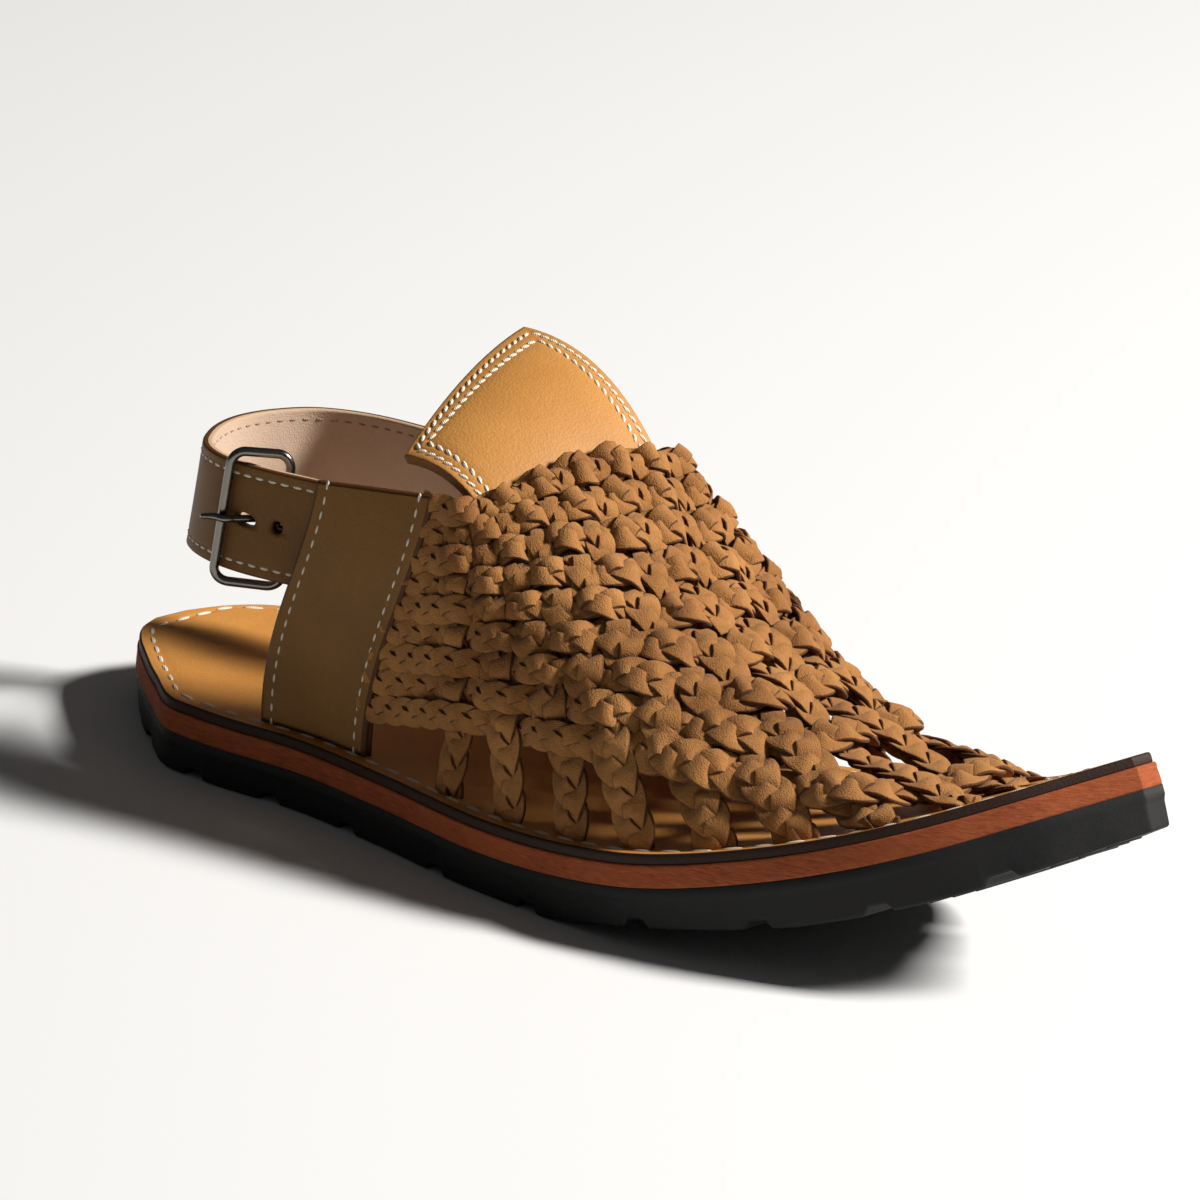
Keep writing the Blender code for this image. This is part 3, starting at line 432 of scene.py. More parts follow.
# %% Outline and spine of the sole
SOLE_LENGTH, BALL_WIDTH = 305.0, 103.2
OUTSOLE, TOE_THICKENING, MIDSOLE, INSOLE = 9.6, 1.6, 5.0, 2.2
SPRING_START, SPRING_END, SPRING_DEGREES = 148.0, 280.0, 27.9
OUTLINE = (
    # share of the length, lateral and medial reach as shares of the ball width
    (0.000, -0.071, 0.133),
    (0.013, 0.031, 0.281),
    (0.033, 0.105, 0.373),
    (0.059, 0.175, 0.421),
    (0.105, 0.288, 0.446),
    (0.161, 0.396, 0.446),
    (0.203, 0.402, 0.431),
    (0.279, 0.387, 0.397),
    (0.377, 0.422, 0.397),
    (0.492, 0.483, 0.438),
    (0.639, 0.507, 0.493),
    (0.770, 0.402, 0.432),
    (0.843, 0.315, 0.350),
    (0.892, 0.229, 0.270),
    (0.938, 0.118, 0.215),
    (0.974, -0.004, 0.183),
    (1.000, -0.098, 0.166),
)


def smooth_curve(table, column, where):
    """Reads one column of a table at the given shares, smoothly and without overshoot."""
    xs = np.array([row[0] for row in table], float)
    ys = np.array([row[column] for row in table], float)
    steps = np.diff(xs)
    slopes = np.diff(ys) / steps
    tangents = np.zeros(len(xs))
    for k in range(1, len(xs) - 1):
        if slopes[k - 1] * slopes[k] > 0:
            w1, w2 = 2 * steps[k] + steps[k - 1], steps[k] + 2 * steps[k - 1]
            tangents[k] = (w1 + w2) / (w1 / slopes[k - 1] + w2 / slopes[k])
    tangents[0], tangents[-1] = slopes[0], slopes[-1]
    where = np.clip(np.asarray(where, float), xs[0], xs[-1])
    k = np.clip(np.searchsorted(xs, where, side="right") - 1, 0, len(steps) - 1)
    t, h = (where - xs[k]) / steps[k], steps[k]
    start = (1 + 2 * t) * (1 - t) ** 2 * ys[k] + t * (1 - t) ** 2 * h * tangents[k]
    return start + t * t * (3 - 2 * t) * ys[k + 1] + t * t * (t - 1) * h * tangents[k + 1]


SPINE_S = np.linspace(0.0, SOLE_LENGTH, 611)
SPRING_SHARE = np.clip((SPINE_S - SPRING_START) / (SPRING_END - SPRING_START), 0, 1)
SPINE_TILT = np.radians(SPRING_DEGREES) * SPRING_SHARE
SPINE_MEAN = (SPINE_TILT[1:] + SPINE_TILT[:-1]) / 2
SPINE_X = np.concatenate([[0], np.cumsum(np.cos(SPINE_MEAN) * np.diff(SPINE_S))])
SPINE_Z = np.concatenate([[0], np.cumsum(np.sin(SPINE_MEAN) * np.diff(SPINE_S))])


def on_spine(s, y, n):
    """A point of the sole: s along its flat length, y across, n above its underside."""
    s, y, n = np.broadcast_arrays(np.asarray(s, float), np.asarray(y, float), np.asarray(n, float))
    tilt = np.interp(s, SPINE_S, SPINE_TILT)
    x = np.interp(s, SPINE_S, SPINE_X) - n * np.sin(tilt)
    return np.stack([x, y, np.interp(s, SPINE_S, SPINE_Z) + n * np.cos(tilt)], -1)


def sole_up(s):
    """Direction at right angles to the sole, away from the floor."""
    tilt = np.interp(s, SPINE_S, SPINE_TILT)
    return np.stack([-np.sin(tilt), 0 * tilt, np.cos(tilt)], -1)


def lateral_edge(s):
    return -BALL_WIDTH * smooth_curve(OUTLINE, 1, np.asarray(s) / SOLE_LENGTH)


def medial_edge(s):
    return BALL_WIDTH * smooth_curve(OUTLINE, 2, np.asarray(s) / SOLE_LENGTH)


LAYER_GAP = 0.25
MIDSOLE_BOTTOM = OUTSOLE + LAYER_GAP
MIDSOLE_TOP = MIDSOLE_BOTTOM + MIDSOLE
INSOLE_BOTTOM = MIDSOLE_TOP + LAYER_GAP
INSOLE_TOP = INSOLE_BOTTOM + INSOLE
print("footbed height, mm:", INSOLE_TOP)

# %% [markdown]
# Every cut piece of this sandal, board or hide, has two faces and a worked edge between them. One
# helper builds them all: it takes a stack of grids, keeps the whole first and last grid as the two
# faces, and joins only the borders of the grids between them, which step round the edge.

# %% Build a slab from a stack of grids
def border_places(rows, columns):
    """Grid positions round the border, in order."""
    first = [(0, j) for j in range(columns)] + [(i, columns - 1) for i in range(1, rows)]
    last = [(rows - 1, j) for j in range(columns - 2, -1, -1)] + [(i, 0) for i in range(rows - 2, 0, -1)]
    return first + last


def cell_ring(i, j):
    """The four corners of one grid cell, in order."""
    return [(i, j), (i, j + 1), (i + 1, j + 1), (i + 1, j)]


def slab(name, stack, materials, holes=(), lined=False):
    """A closed slab. stack holds grids of points in millimetres from the front face to the back one,
    materials are for the front, the edge and the back, and holes are grid cells left open. A lined
    edge shows the back's material over its inner half."""
    rows, columns = stack[0].shape[:2]
    border = border_places(rows, columns)
    on_border = set(border)
    points, rim, faces, kinds, grids = [], [], [], [], []
    for k, spots in enumerate(stack):
        index = np.full((rows, columns), -1)
        for place in np.ndindex(rows, columns) if k in (0, len(stack) - 1) else border:
            index[place] = len(points)
            points.append(spots[place])
            rim.append(1.0 if place in on_border else 0.0)
        grids.append(index)
    front, back = grids[0], grids[-1]
    for i, j in np.ndindex(rows - 1, columns - 1):
        if (i, j) not in holes:
            ring = cell_ring(i, j)
            faces += [[int(front[c]) for c in ring], [int(back[c]) for c in reversed(ring)]]
            kinds += [0, 2]
    walls = [(upper, lower, a, b) for upper, lower in zip(grids, grids[1:])
             for a, b in zip(border, border[1:] + border[:1])]
    bands = [2 if lined and k > len(grids) // 2 else 1 for k in range(1, len(grids)) for _ in border]
    for i, j in holes:
        ring = cell_ring(i, j)
        beyond = [(i - 1, j), (i, j + 1), (i + 1, j), (i, j - 1)]
        walls += [(front, back, a, b) for a, b, next_to in zip(ring, ring[1:] + ring[:1], beyond)
                  if next_to not in holes]
    faces += [[int(upper[b]), int(upper[a]), int(lower[a]), int(lower[b])] for upper, lower, a, b in walls]
    kinds += bands + [1] * (len(walls) - len(bands))
    return closed_mesh(name, points, faces, materials, kinds, rim)


def closed_mesh(name, points, faces, materials, kinds, rim):
    """A smooth-shaded mesh with outward faces, and its border attribute."""
    mesh = bpy.data.meshes.new(name)
    mesh.from_pydata([tuple(p) for p in to_metres(points)], [], faces)
    for material in materials:
        mesh.materials.append(material)
    mesh.polygons.foreach_set("material_index", kinds)
    mesh.attributes.new("rim", "FLOAT", "POINT").data.foreach_set("value", np.asarray(rim, np.float32))
    work = bmesh.new()
    work.from_mesh(mesh)
    bmesh.ops.delete(work, geom=[v for v in work.verts if not v.link_faces], context="VERTS")
    bmesh.ops.recalc_face_normals(work, faces=work.faces[:])
    if work.calc_volume(signed=True) < 0:
        bmesh.ops.reverse_faces(work, faces=work.faces[:])
    print(name, "open edges:", sum(len(e.link_faces) != 2 for e in work.edges))
    work.to_mesh(mesh)
    work.free()
    mesh.polygons.foreach_set("use_smooth", [True] * len(mesh.polygons))
    return new_object(name, mesh)


def eased_ends(count):
    """Numbers from 0 to 1 that crowd together at both ends."""
    t = np.linspace(0, 1, count)
    return t - np.sin(2 * math.pi * t) / (2 * math.pi) * 0.85


SOLE_ROWS, SOLE_COLUMNS = 190, 28


def across_sole(s, inset):
    """A row of places from the outer to the inner side of the sole for each s."""
    low, high = lateral_edge(s) + inset, medial_edge(s) - inset
    return low + (high - low) * eased_ends(SOLE_COLUMNS)[None, :]


def sole_sheet(inset, level, dented=None):
    """A grid over the whole sole, inset from its outline, at a level above the underside."""
    s = (inset + (SOLE_LENGTH - 2 * inset) * eased_ends(SOLE_ROWS))[:, None]
    y = across_sole(s, inset)
    return on_spine(s + 0 * y, y, level - (dented(s, y) if dented else 0 * y))


# %% [markdown]
# The layers are glued, so each reaches a hair into the one below and no light shows between them.
# The insole is a smooth vegetable-tanned board with its edge painted dark. A coarse white thread
# runs round it a few millimetres in, and each stitch pulls the surface down a little.

# %% Insole and midsole
INSOLE_INSET = 0.5
STITCH_LINE_INSET, CHANNEL_DEPTH, CHANNEL_REACH = 5.0, 0.25, 0.9


def insole_dent(s, y):
    """How deep the sewn channel presses the insole."""
    away = np.minimum(y - lateral_edge(s), medial_edge(s) - y)
    away = np.minimum(away, np.minimum(s, SOLE_LENGTH - s))
    return CHANNEL_DEPTH * np.exp(-(((away - STITCH_LINE_INSET) / CHANNEL_REACH) ** 2))


INSOLE_EDGE = ((0.6, 0.0), (0.25, 0.12), (0.05, 0.4), (0.0, 0.8), (0.0, 2.0), (0.1, 2.5))
insole_stack = [sole_sheet(INSOLE_INSET + a, INSOLE_TOP - b, insole_dent if b == 0 else None)
                for a, b in INSOLE_EDGE]
keep(slab("insole_board", insole_stack, [INSOLE_HIDE, EDGE_PAINT, EDGE_PAINT]), "insole_leather", "insole")

MIDSOLE_EDGE = ((0.35, 0.0), (0.08, 0.25), (0.0, 0.7), (0.12, 1.6), (0.0, 3.4), (0.0, 4.9), (0.1, 5.3))
midsole_stack = [sole_sheet(a, MIDSOLE_TOP - b) for a, b in MIDSOLE_EDGE]
keep(slab("midsole_band", midsole_stack, [BOARD, BOARD, BOARD]), "midsole_fibre", "midsole")

# %% [markdown]
# The outsole is moulded rubber: cross grooves cut it into lugs, the heel edge is bevelled so that
# it rolls off the floor, and fine arched ribs are moulded into the tread toward the toe.

# %% Outsole
GROOVES = (0.100, 0.184, 0.259, 0.343, 0.449, 0.549, 0.657, 0.751, 0.839, 0.918)
GROOVE_DEPTH, GROOVE_WIDTH, GROOVE_SLOPE = 1.9, 3.6, 1.6
HEEL_BEVEL, HEEL_BEVEL_REACH, SIDE_STEP = 2.2, 22.0, 0.9
FLAT_END, FLAT_FADE = 173.0, 22.0
LIP_SHARES, LIP_ROOM = (0.0, 0.2, 0.4, 0.6, 0.8, 1.0), 0.25
TOE_THICKENING_RUN = ((0.68, 0.78, 0.92, 1.0), (0.0, 1.0, 1.0, 0.0))


def outsole_underside(s):
    """Height of the tread above the spine, with its lugs and grooves."""
    away = np.abs(s[..., None] - np.array(GROOVES) * SOLE_LENGTH).min(-1) - GROOVE_WIDTH / 2
    t = np.clip(away / GROOVE_SLOPE, 0, 1)
    cut = GROOVE_DEPTH * (1 - t * t * (3 - 2 * t))
    toe = TOE_THICKENING * np.interp(s / SOLE_LENGTH, *TOE_THICKENING_RUN)
    held = np.minimum(s, FLAT_END)
    floor = np.interp(held, SPINE_S, SPINE_Z) / np.cos(np.interp(held, SPINE_S, SPINE_TILT))
    return cut - np.maximum(toe, floor * np.clip(1 - (s - FLAT_END) / FLAT_FADE, 0, 1))


def outsole_stations():
    """Rows along the outsole, crowded at each groove's lips."""
    half = GROOVE_WIDTH / 2
    lips = [g * SOLE_LENGTH + side * (half + GROOVE_SLOPE * t) for g in GROOVES for side in (-1, 1)
            for t in LIP_SHARES]
    even = [s for s in SOLE_LENGTH * eased_ends(150) if all(abs(s - lip) > LIP_ROOM for lip in lips)]
    return np.array(sorted(lips + even))


OUTSOLE_S = outsole_stations()


def outsole_sheet(inset, height, bevel):
    """A grid of the outsole. height is a level, or a function of the place along the sole."""
    s = OUTSOLE_S[:, None]
    y = across_sole(s, inset)
    moved = np.clip(s + bevel * np.clip(1 - s / HEEL_BEVEL_REACH, 0, 1), inset, SOLE_LENGTH - inset)
    return on_spine(moved + 0 * y, y, (height(s) if callable(height) else height) + 0 * y)


OUTSOLE_EDGE = (
    # inset, height, how far the heel is bevelled forward
    (0.15, OUTSOLE, 0.0),
    (0.0, OUTSOLE - 0.15, 0.0),
    (0.05, OUTSOLE - 2.4, 0.2),
    (0.25, OUTSOLE - 3.0, 0.4),
    (0.45, OUTSOLE - 3.8, 0.7),
    (SIDE_STEP - 0.1, lambda s: outsole_underside(s) + 0.8, HEEL_BEVEL - 0.3),
    (SIDE_STEP + 0.05, lambda s: outsole_underside(s) + 0.25, HEEL_BEVEL),
    (SIDE_STEP + 0.45, outsole_underside, HEEL_BEVEL),
)
outsole_stack = [outsole_sheet(*ring) for ring in OUTSOLE_EDGE]
keep(slab("outsole_tread", outsole_stack, [RUBBER, RUBBER, RUBBER]), "outsole_rubber", "outsole")

# %% [markdown]
# The weave hangs on one invisible surface, from the line where it stands on the insole to the edge
# of the instep plate. Each place has its own profile, a curve with a foot handle and a top handle.
# Nine braids run along it and sixteen run up it, each over one and under the next.

# %% Surface that the braids lie on
WEAVE_START, WEAVE_TOE, TOE_ROUNDING, FOOT_INSET = 104.5, 271.0, 20.0, 7.0
BRAID_ROWS, BRAID_COLUMNS, FIRST_COLUMN = 9, 16, 30.0
INSTEP_EDGE = (
    # x, y, z
    (117.0, -33.0, 83.5),
    (125.5, -27.5, 84.0),
    (130.0, 0.0, 90.5),
    (136.0, 25.5, 89.5),
    (129.5, 33.5, 85.5),
    (117.0, 37.5, 83.5),
)
DRAPE = (
    # share, foot rise, foot lean, top ahead, top sideways, top down
    (0.00, 26.0, -1.5, 0.0, -3.5, 22.0),
    (0.16, 27.0, -1.0, 8.0, -10.0, 17.0),
    (0.30, 20.0, 4.0, 19.0, -11.0, 17.0),
    (0.42, 3.0, 27.0, 29.0, -5.0, 21.0),
    (0.52, -8.0, 54.0, 29.0, 0.0, 22.0),
    (0.64, 2.0, 27.0, 27.0, 3.0, 22.0),
    (0.78, 22.0, 2.0, 14.0, 9.0, 18.0),
    (0.90, 28.0, -1.0, 6.0, 7.0, 18.0),
    (1.00, 28.0, -1.5, 0.0, 3.0, 22.0),
)
ROW_SPREAD = (
    # share, lowest row, highest row, crowding
    (0.00, 0.16, 0.955, 1.00),
    (0.10, 0.26, 0.955, 1.00),
    (0.25, 0.28, 0.955, 0.95),
    (0.40, 0.16, 0.960, 0.80),
    (0.52, 0.08, 0.965, 0.70),
    (0.64, 0.14, 0.960, 0.80),
    (0.78, 0.24, 0.955, 0.95),
    (0.90, 0.26, 0.955, 1.00),
    (1.00, 0.16, 0.955, 1.00),
)


def through(points, shares, samples=400):
    """A smooth line through the points, read at shares of its own length."""
    pts = np.array(points, float)
    pts = np.vstack([2 * pts[0] - pts[1], pts, 2 * pts[-1] - pts[-2]])
    t = (np.arange(samples) / samples)[:, None]
    parts = []
    for k in range(1, len(pts) - 2):
        p0, p1, p2, p3 = pts[k - 1 : k + 3]
        bend = (2 * p0 - 5 * p1 + 4 * p2 - p3) * t * t + (3 * p1 - p0 - 3 * p2 + p3) * t**3
        parts.append(0.5 * (2 * p1 + (p2 - p0) * t + bend))
    line = np.concatenate(parts + [pts[-2:-1]])
    run = run_along(line)
    wanted = np.asarray(shares, float) * run[-1]
    return np.stack([np.interp(wanted, run, line[:, a]) for a in range(line.shape[1])], -1)


def foot_line():
    """Where the weave stands on the insole, as s and y, from the lateral panel round the toe."""
    straight = np.linspace(WEAVE_START, WEAVE_TOE - TOE_ROUNDING, 60)
    lateral = np.stack([straight, lateral_edge(straight) + FOOT_INSET], 1)
    medial = np.stack([straight, medial_edge(straight) - FOOT_INSET], 1)[::-1]
    turn = np.linspace(0, math.pi, 41)[1:-1]
    middle, half = (lateral[-1, 1] + medial[0, 1]) / 2, (medial[0, 1] - lateral[-1, 1]) / 2
    toe = np.stack([lateral[-1, 0] + TOE_ROUNDING * np.sin(turn), middle - half * np.cos(turn)], 1)
    return np.concatenate([lateral, toe, medial])


FOOT_LINE = foot_line()
FOOT_RUN = run_along(FOOT_LINE)
FOOT_LENGTH = FOOT_RUN[-1]
INSTEP_LINE = through(INSTEP_EDGE, np.linspace(0, 1, 1001))


def weave_surface(u, v):
    """Point of the weave's middle surface: u from lateral to medial panel, v from the sole upward."""
    u, v = np.broadcast_arrays(np.asarray(u, float), np.asarray(v, float))
    shape, u, v = u.shape, u.ravel(), v.ravel()
    s, y = (np.interp(u * FOOT_LENGTH, FOOT_RUN, FOOT_LINE[:, a]) for a in (0, 1))
    p0 = on_spine(s, y, INSOLE_TOP)
    p3 = np.stack([np.interp(u, np.linspace(0, 1, 1001), INSTEP_LINE[:, a]) for a in range(3)], -1)
    rise, lean, ahead, side, down = (smooth_curve(DRAPE, k, u) for k in range(1, 6))
    inward = unit((p3 - p0) * (1, 1, 0))
    p1 = p0 + sole_up(s) * rise[:, None] + inward * lean[:, None]
    p2 = p3 + np.stack([ahead, side, -down], -1)
    t = v[:, None]
    point = (1 - t) ** 3 * p0 + 3 * (1 - t) ** 2 * t * p1 + 3 * (1 - t) * t * t * p2 + t**3 * p3
    return point.reshape(*shape, 3)


def weave_normal(u, v, step=0.004):
    """Outward direction of the weave's surface."""
    u, v = np.broadcast_arrays(np.asarray(u, float), np.asarray(v, float))
    du = weave_surface(np.clip(u + step, 0, 1), v) - weave_surface(np.clip(u - step, 0, 1), v)
    dv = weave_surface(u, np.clip(v + step, 0, 1)) - weave_surface(u, np.clip(v - step, 0, 1))
    return unit(np.cross(du, dv))


def row_height(r, u):
    low, high, crowd = (smooth_curve(ROW_SPREAD, k, u) for k in (1, 2, 3))
    return low + (high - low) * (r / (BRAID_ROWS - 1)) ** crowd


COLUMN_PITCH = (FOOT_LENGTH - 2 * FIRST_COLUMN) / (BRAID_COLUMNS - 1)
COLUMN_U = (FIRST_COLUMN + COLUMN_PITCH * np.arange(BRAID_COLUMNS)) / FOOT_LENGTH
print("foot line of the weave, mm:", round(FOOT_LENGTH, 1), "column pitch:", round(COLUMN_PITCH, 1))

# %% [markdown]
# A braid here is a flat plait of three suede strips. Each strip sways from side to side, and rises
# and dips twice in that time, so that it goes over one neighbour and under the other. A geometry
# tree does this for every strip: it moves the braid's own line by sines of its length, tips the
# free edge of the upper strip down, and sweeps a thin curled profile along it. The angle of the
# plait is stored on the line first, because a strip that has been moved is longer than its line.

# %% Geometry tree for a plait
STRIPS = 3


def squared(tree, value):
    """Pushes a circle's coordinate outward, so that the circle becomes a rectangle with small roundings."""
    size = number(tree, "POWER", number(tree, "ABSOLUTE", value), 0.36)
    return times(tree, size, number(tree, "SIGN", value))


def plait_tree():
    """Three strips that cross over and under one another along each line."""
    sizes = {"Strip width": 0.0058, "Strip thickness": 0.0013, "Strip curl": 0.0004, "Sway": 0.0024,
             "Crossing height": 0.0008, "Plait length": 0.021, "Turn tilt": 0.6, "Unevenness": 0.0003}
    tree, given, out = lines_tree("plait", sizes, "Plait")
    source, width, thick, curl, sway, height, pitch, tilt, uneven, material = given
    curve = add(tree, "GeometryNodeMeshToCurve", {0: source}).outputs[0]
    curve = add(tree, "GeometryNodeResampleCurve", {"Curve": curve, "Length": 0.0011}, mode="LENGTH")
    # the profile: a circle squared to a flat strip, curled down at both edges
    ring = add(tree, "GeometryNodeCurvePrimitiveCircle", {"Resolution": 16, "Radius": 1.0}, mode="RADIUS")
    spot = add(tree, "ShaderNodeSeparateXYZ", {0: add(tree, "GeometryNodeInputPosition").outputs[0]})
    through_strip, across = (squared(tree, spot.outputs[k]) for k in (0, 1))
    # Painted shade: the strips' sides are stored as rim, which the suede paints near black where strips meet.
    strip_side_shade = number(tree, "POWER", number(tree, "ABSOLUTE", across), 7.0)
    ring = store(tree, ring.outputs[0], "rim", strip_side_shade)
    flat = times(tree, through_strip, times(tree, thick, 0.5))
    bowed = number(tree, "SUBTRACT", flat, times(tree, across, across, curl))
    flank = times(tree, across, times(tree, width, 0.5))
    shape = add(tree, "ShaderNodeCombineXYZ", {0: bowed, 1: flank}).outputs[0]
    ring = add(tree, "GeometryNodeSetPosition", {"Geometry": ring, "Position": shape}).outputs[0]
    # the turn of the plait, stored on the line before the strips leave it
    length = add(tree, "GeometryNodeSplineParameter").outputs["Length"]
    turn = number(tree, "DIVIDE", times(tree, length, 2 * math.pi), pitch)
    curve = store(tree, curve.outputs[0], "turn", number(tree, "ADD", turn, named(tree, "phase")))
    turn, full = named(tree, "turn"), named(tree, "full")
    side_way, up_way = named(tree, "side_way", "FLOAT_VECTOR"), named(tree, "up_way", "FLOAT_VECTOR")
    spot = add(tree, "GeometryNodeInputPosition").outputs[0]
    strips = []
    for k in range(STRIPS):
        angle = number(tree, "ADD", turn, 2 * math.pi * k / STRIPS)
        swing = number(tree, "SINE", angle)
        hop = number(tree, "SINE", times(tree, angle, 2.0))
        aside, above = times(tree, swing, sway, full), times(tree, hop, height, full)
        offset = arrow(tree, "ADD", scaled(tree, side_way, aside), scaled(tree, up_way, above))
        feeds = {"Vector": spot, "W": 3.7 * k + 1.3, "Scale": 260.0, "Detail": 1.0}
        wobble = add(tree, "ShaderNodeTexNoise", feeds, noise_dimensions="4D").outputs["Color"]
        wobble = arrow(tree, "SUBTRACT", wobble, (0.5, 0.5, 0.5))
        offset = arrow(tree, "ADD", offset, scaled(tree, wobble, times(tree, uneven, 2.0)))
        strip = add(tree, "GeometryNodeSetPosition", {"Geometry": curve, "Offset": offset}).outputs[0]
        leaning = scaled(tree, side_way, times(tree, swing, hop, tilt))
        facing = arrow(tree, "NORMALIZE", arrow(tree, "ADD", up_way, leaning))
        strip = add(tree, "GeometryNodeSetCurveNormal", {"Curve": strip, "Normal": facing}, mode="FREE")
        feeds = {"Curve": strip.outputs[0], "Profile Curve": ring, "Scale": full, "Fill Caps": True}
        strips.append(add(tree, "GeometryNodeCurveToMesh", feeds).outputs[0])
    joined = tree.nodes.new("GeometryNodeJoinGeometry")
    for strip in reversed(strips):
        tree.links.new(strip, joined.inputs[0])
    return close_tree(tree, joined.outputs[0], material, out)


PLAIT = plait_tree()
print("plait tree nodes:", len(PLAIT.nodes))

# %% [markdown]
# Each braid's own line is worked out here. Where a row meets a column, one lies over and the other
# under, in turn, so the line rises and sinks along the way. Where braids crowd together on the
# instep they are drawn thinner, and the rows lie a little prouder than the columns.

# %% Lines of the rows and columns
OVER, ROW_LIFT, COLUMN_LIFT, TUCK, TUCK_STEPS = 1.6, 0.95, 0.05, 4.0, 6
FULL_PITCH, ROW_FULL, COLUMN_FULL = 10.9, (0.66, 1.0), (0.54, 0.98)
PROFILE_V = np.linspace(0, 1, 25)


def eased(t):
    return t * t * (3 - 2 * t)


def knots_read(where, knots, values):
    """Reads values between knots, easing in and out of each."""
    k = np.clip(np.searchsorted(knots, where, side="right") - 1, 0, len(knots) - 2)
    t = np.clip((where - knots[k]) / (knots[k + 1] - knots[k]), 0, 1)
    values = np.asarray(values, float)
    return values[k] + (values[k + 1] - values[k]) * eased(np.clip((t - 0.12) / 0.76, 0, 1))


def profile_length(u):
    return np.linalg.norm(np.diff(weave_surface(u[:, None], PROFILE_V[None, :]), axis=1), axis=2).sum(1)


def row_line(r, rng):
    u = np.linspace(0, 1, 420)
    v = row_height(r, u)
    knots = np.concatenate([[0.0], COLUMN_U, [1.0]])
    lifts = [-0.4] + [OVER if (r + c) % 2 == 0 else -OVER for c in range(BRAID_COLUMNS)] + [-0.4]
    up_here = weave_normal(u, v)
    points = weave_surface(u, v) + up_here * (ROW_LIFT + knots_read(u, knots, lifts))[:, None]
    near = r + 1 if r < BRAID_ROWS - 1 else r - 1
    room = np.abs(row_height(near, u) - v) * profile_length(u)
    full = np.clip(room / FULL_PITCH, *ROW_FULL)
    lead = np.linspace(TUCK, 0.5, TUCK_STEPS)[:, None] * np.array([-1.0, 0.0, 0.0])
    return dict(points=np.vstack([points[0] + lead, points, points[-1] + lead[::-1]]),
                up=np.pad(up_here, ((TUCK_STEPS, TUCK_STEPS), (0, 0)), "edge"),
                full=np.pad(full, TUCK_STEPS, "edge"), phase=rng.uniform(0, 6.28))


def column_line(c, rng):
    v = np.linspace(0.0, 0.985, 200)
    u = np.full_like(v, COLUMN_U[c])
    knots = np.array([0.0] + [float(row_height(r, COLUMN_U[c])) for r in range(BRAID_ROWS)] + [1.0])
    lifts = [0.2] + [-OVER if (r + c) % 2 == 0 else OVER for r in range(BRAID_ROWS)] + [-OVER]
    up_here = weave_normal(u, v)
    points = weave_surface(u, v) + up_here * (COLUMN_LIFT + knots_read(v, knots, lifts))[:, None]
    points = np.vstack([points[:1] - (0, 0, 3.6), points[:1] - (0, 0, 1.6), points])
    up_here = np.vstack([up_here[:1], up_here[:1], up_here])
    rows_v = knots[1:-1]
    room = np.interp(v, (rows_v[1:] + rows_v[:-1]) / 2, np.diff(rows_v)) * profile_length(u[:1])[0]
    half = COLUMN_PITCH / FOOT_LENGTH / 2
    apart = np.linalg.norm(weave_surface(u + half, v) - weave_surface(u - half, v), axis=1)
    full = np.clip(np.minimum(0.6 + 0.045 * room, apart / FULL_PITCH), *COLUMN_FULL)
    return dict(points=points, up=up_here, full=np.pad(full, (2, 0), "edge"), phase=rng.uniform(0, 6.28))


rng = np.random.default_rng(7)
row_lines = [row_line(r, rng) for r in range(BRAID_ROWS)]
column_lines = [column_line(c, rng) for c in range(BRAID_COLUMNS)]
print("row lines, mm:", [int(run_along(x["points"])[-1]) for x in row_lines])
print("column lines, mm:", [int(run_along(x["points"])[-1]) for x in column_lines])

# %% [markdown]
# Both sets of braids are now swept by the same tree and with the same sizes, in metres, so that the
# rows and the columns are made of one kind of plait.

# %% Sweep the braids
PLAIT_SIZES = {
    "Strip width": 0.0062,
    "Strip thickness": 0.0010,
    "Strip curl": 0.0003,
    "Sway": 0.0025,
    "Crossing height": 0.00112,
    "Plait length": 0.0220,
    "Turn tilt": 0.26,
    "Unevenness": 0.00022,
    "Material": SUEDE,
}
for name, lines in (("braid_rows", row_lines), ("braid_columns", column_lines)):
    keep(settle(lines_object(lines), PLAIT, name, PLAIT_SIZES), "braid_nubuck", "woven_vamp")

# %% [markdown]
# A hide piece is a slab whose outer face is known. The helper steps round its border with an edge
# profile, written as (how far in, how deep) pairs: a raw edge has small roundings, and a folded
# one is full and has a seam line where its two plies meet.

# %% Build a piece of leather
RAW_EDGE = ((0.35, 0.0), (0.08, 0.1), (0.0, 0.22), (0.05, 0.5), (0.0, 0.78), (0.08, 0.9), (0.35, 1.0))
FOLDED_EDGE = ((0.9, 0.0), (0.3, 0.08), (0.0, 0.25), (0.0, 0.40), (0.8, 0.5), (0.0, 0.60), (0.0, 0.75),
               (0.3, 0.92), (0.9, 1.0))


def border_inward(grid, outward):
    """Direction into the sheet, along its face, at each border point."""
    way = np.zeros_like(grid)
    way[0] += unit(grid[1] - grid[0])
    way[-1] += unit(grid[-2] - grid[-1])
    way[:, 0] += unit(grid[:, 1] - grid[:, 0])
    way[:, -1] += unit(grid[:, -2] - grid[:, -1])
    return way - outward * (way * outward).sum(-1)[..., None]


def leather(name, grid, outward, thickness, edge, materials, press=0.0, holes=(), lined=False):
    """A sheet of leather from its outer face. press is how deep each point of that face is pushed in."""
    thickness = np.broadcast_to(np.asarray(thickness, float), grid.shape[:2])[..., None]
    press = np.broadcast_to(np.asarray(press, float), grid.shape[:2])[..., None]
    inward = border_inward(grid, outward)
    stack = [grid + inward * inset - outward * depth * thickness for inset, depth in edge]
    stack[0] = stack[0] - outward * press
    return slab(name, stack, materials, set(holes), lined)


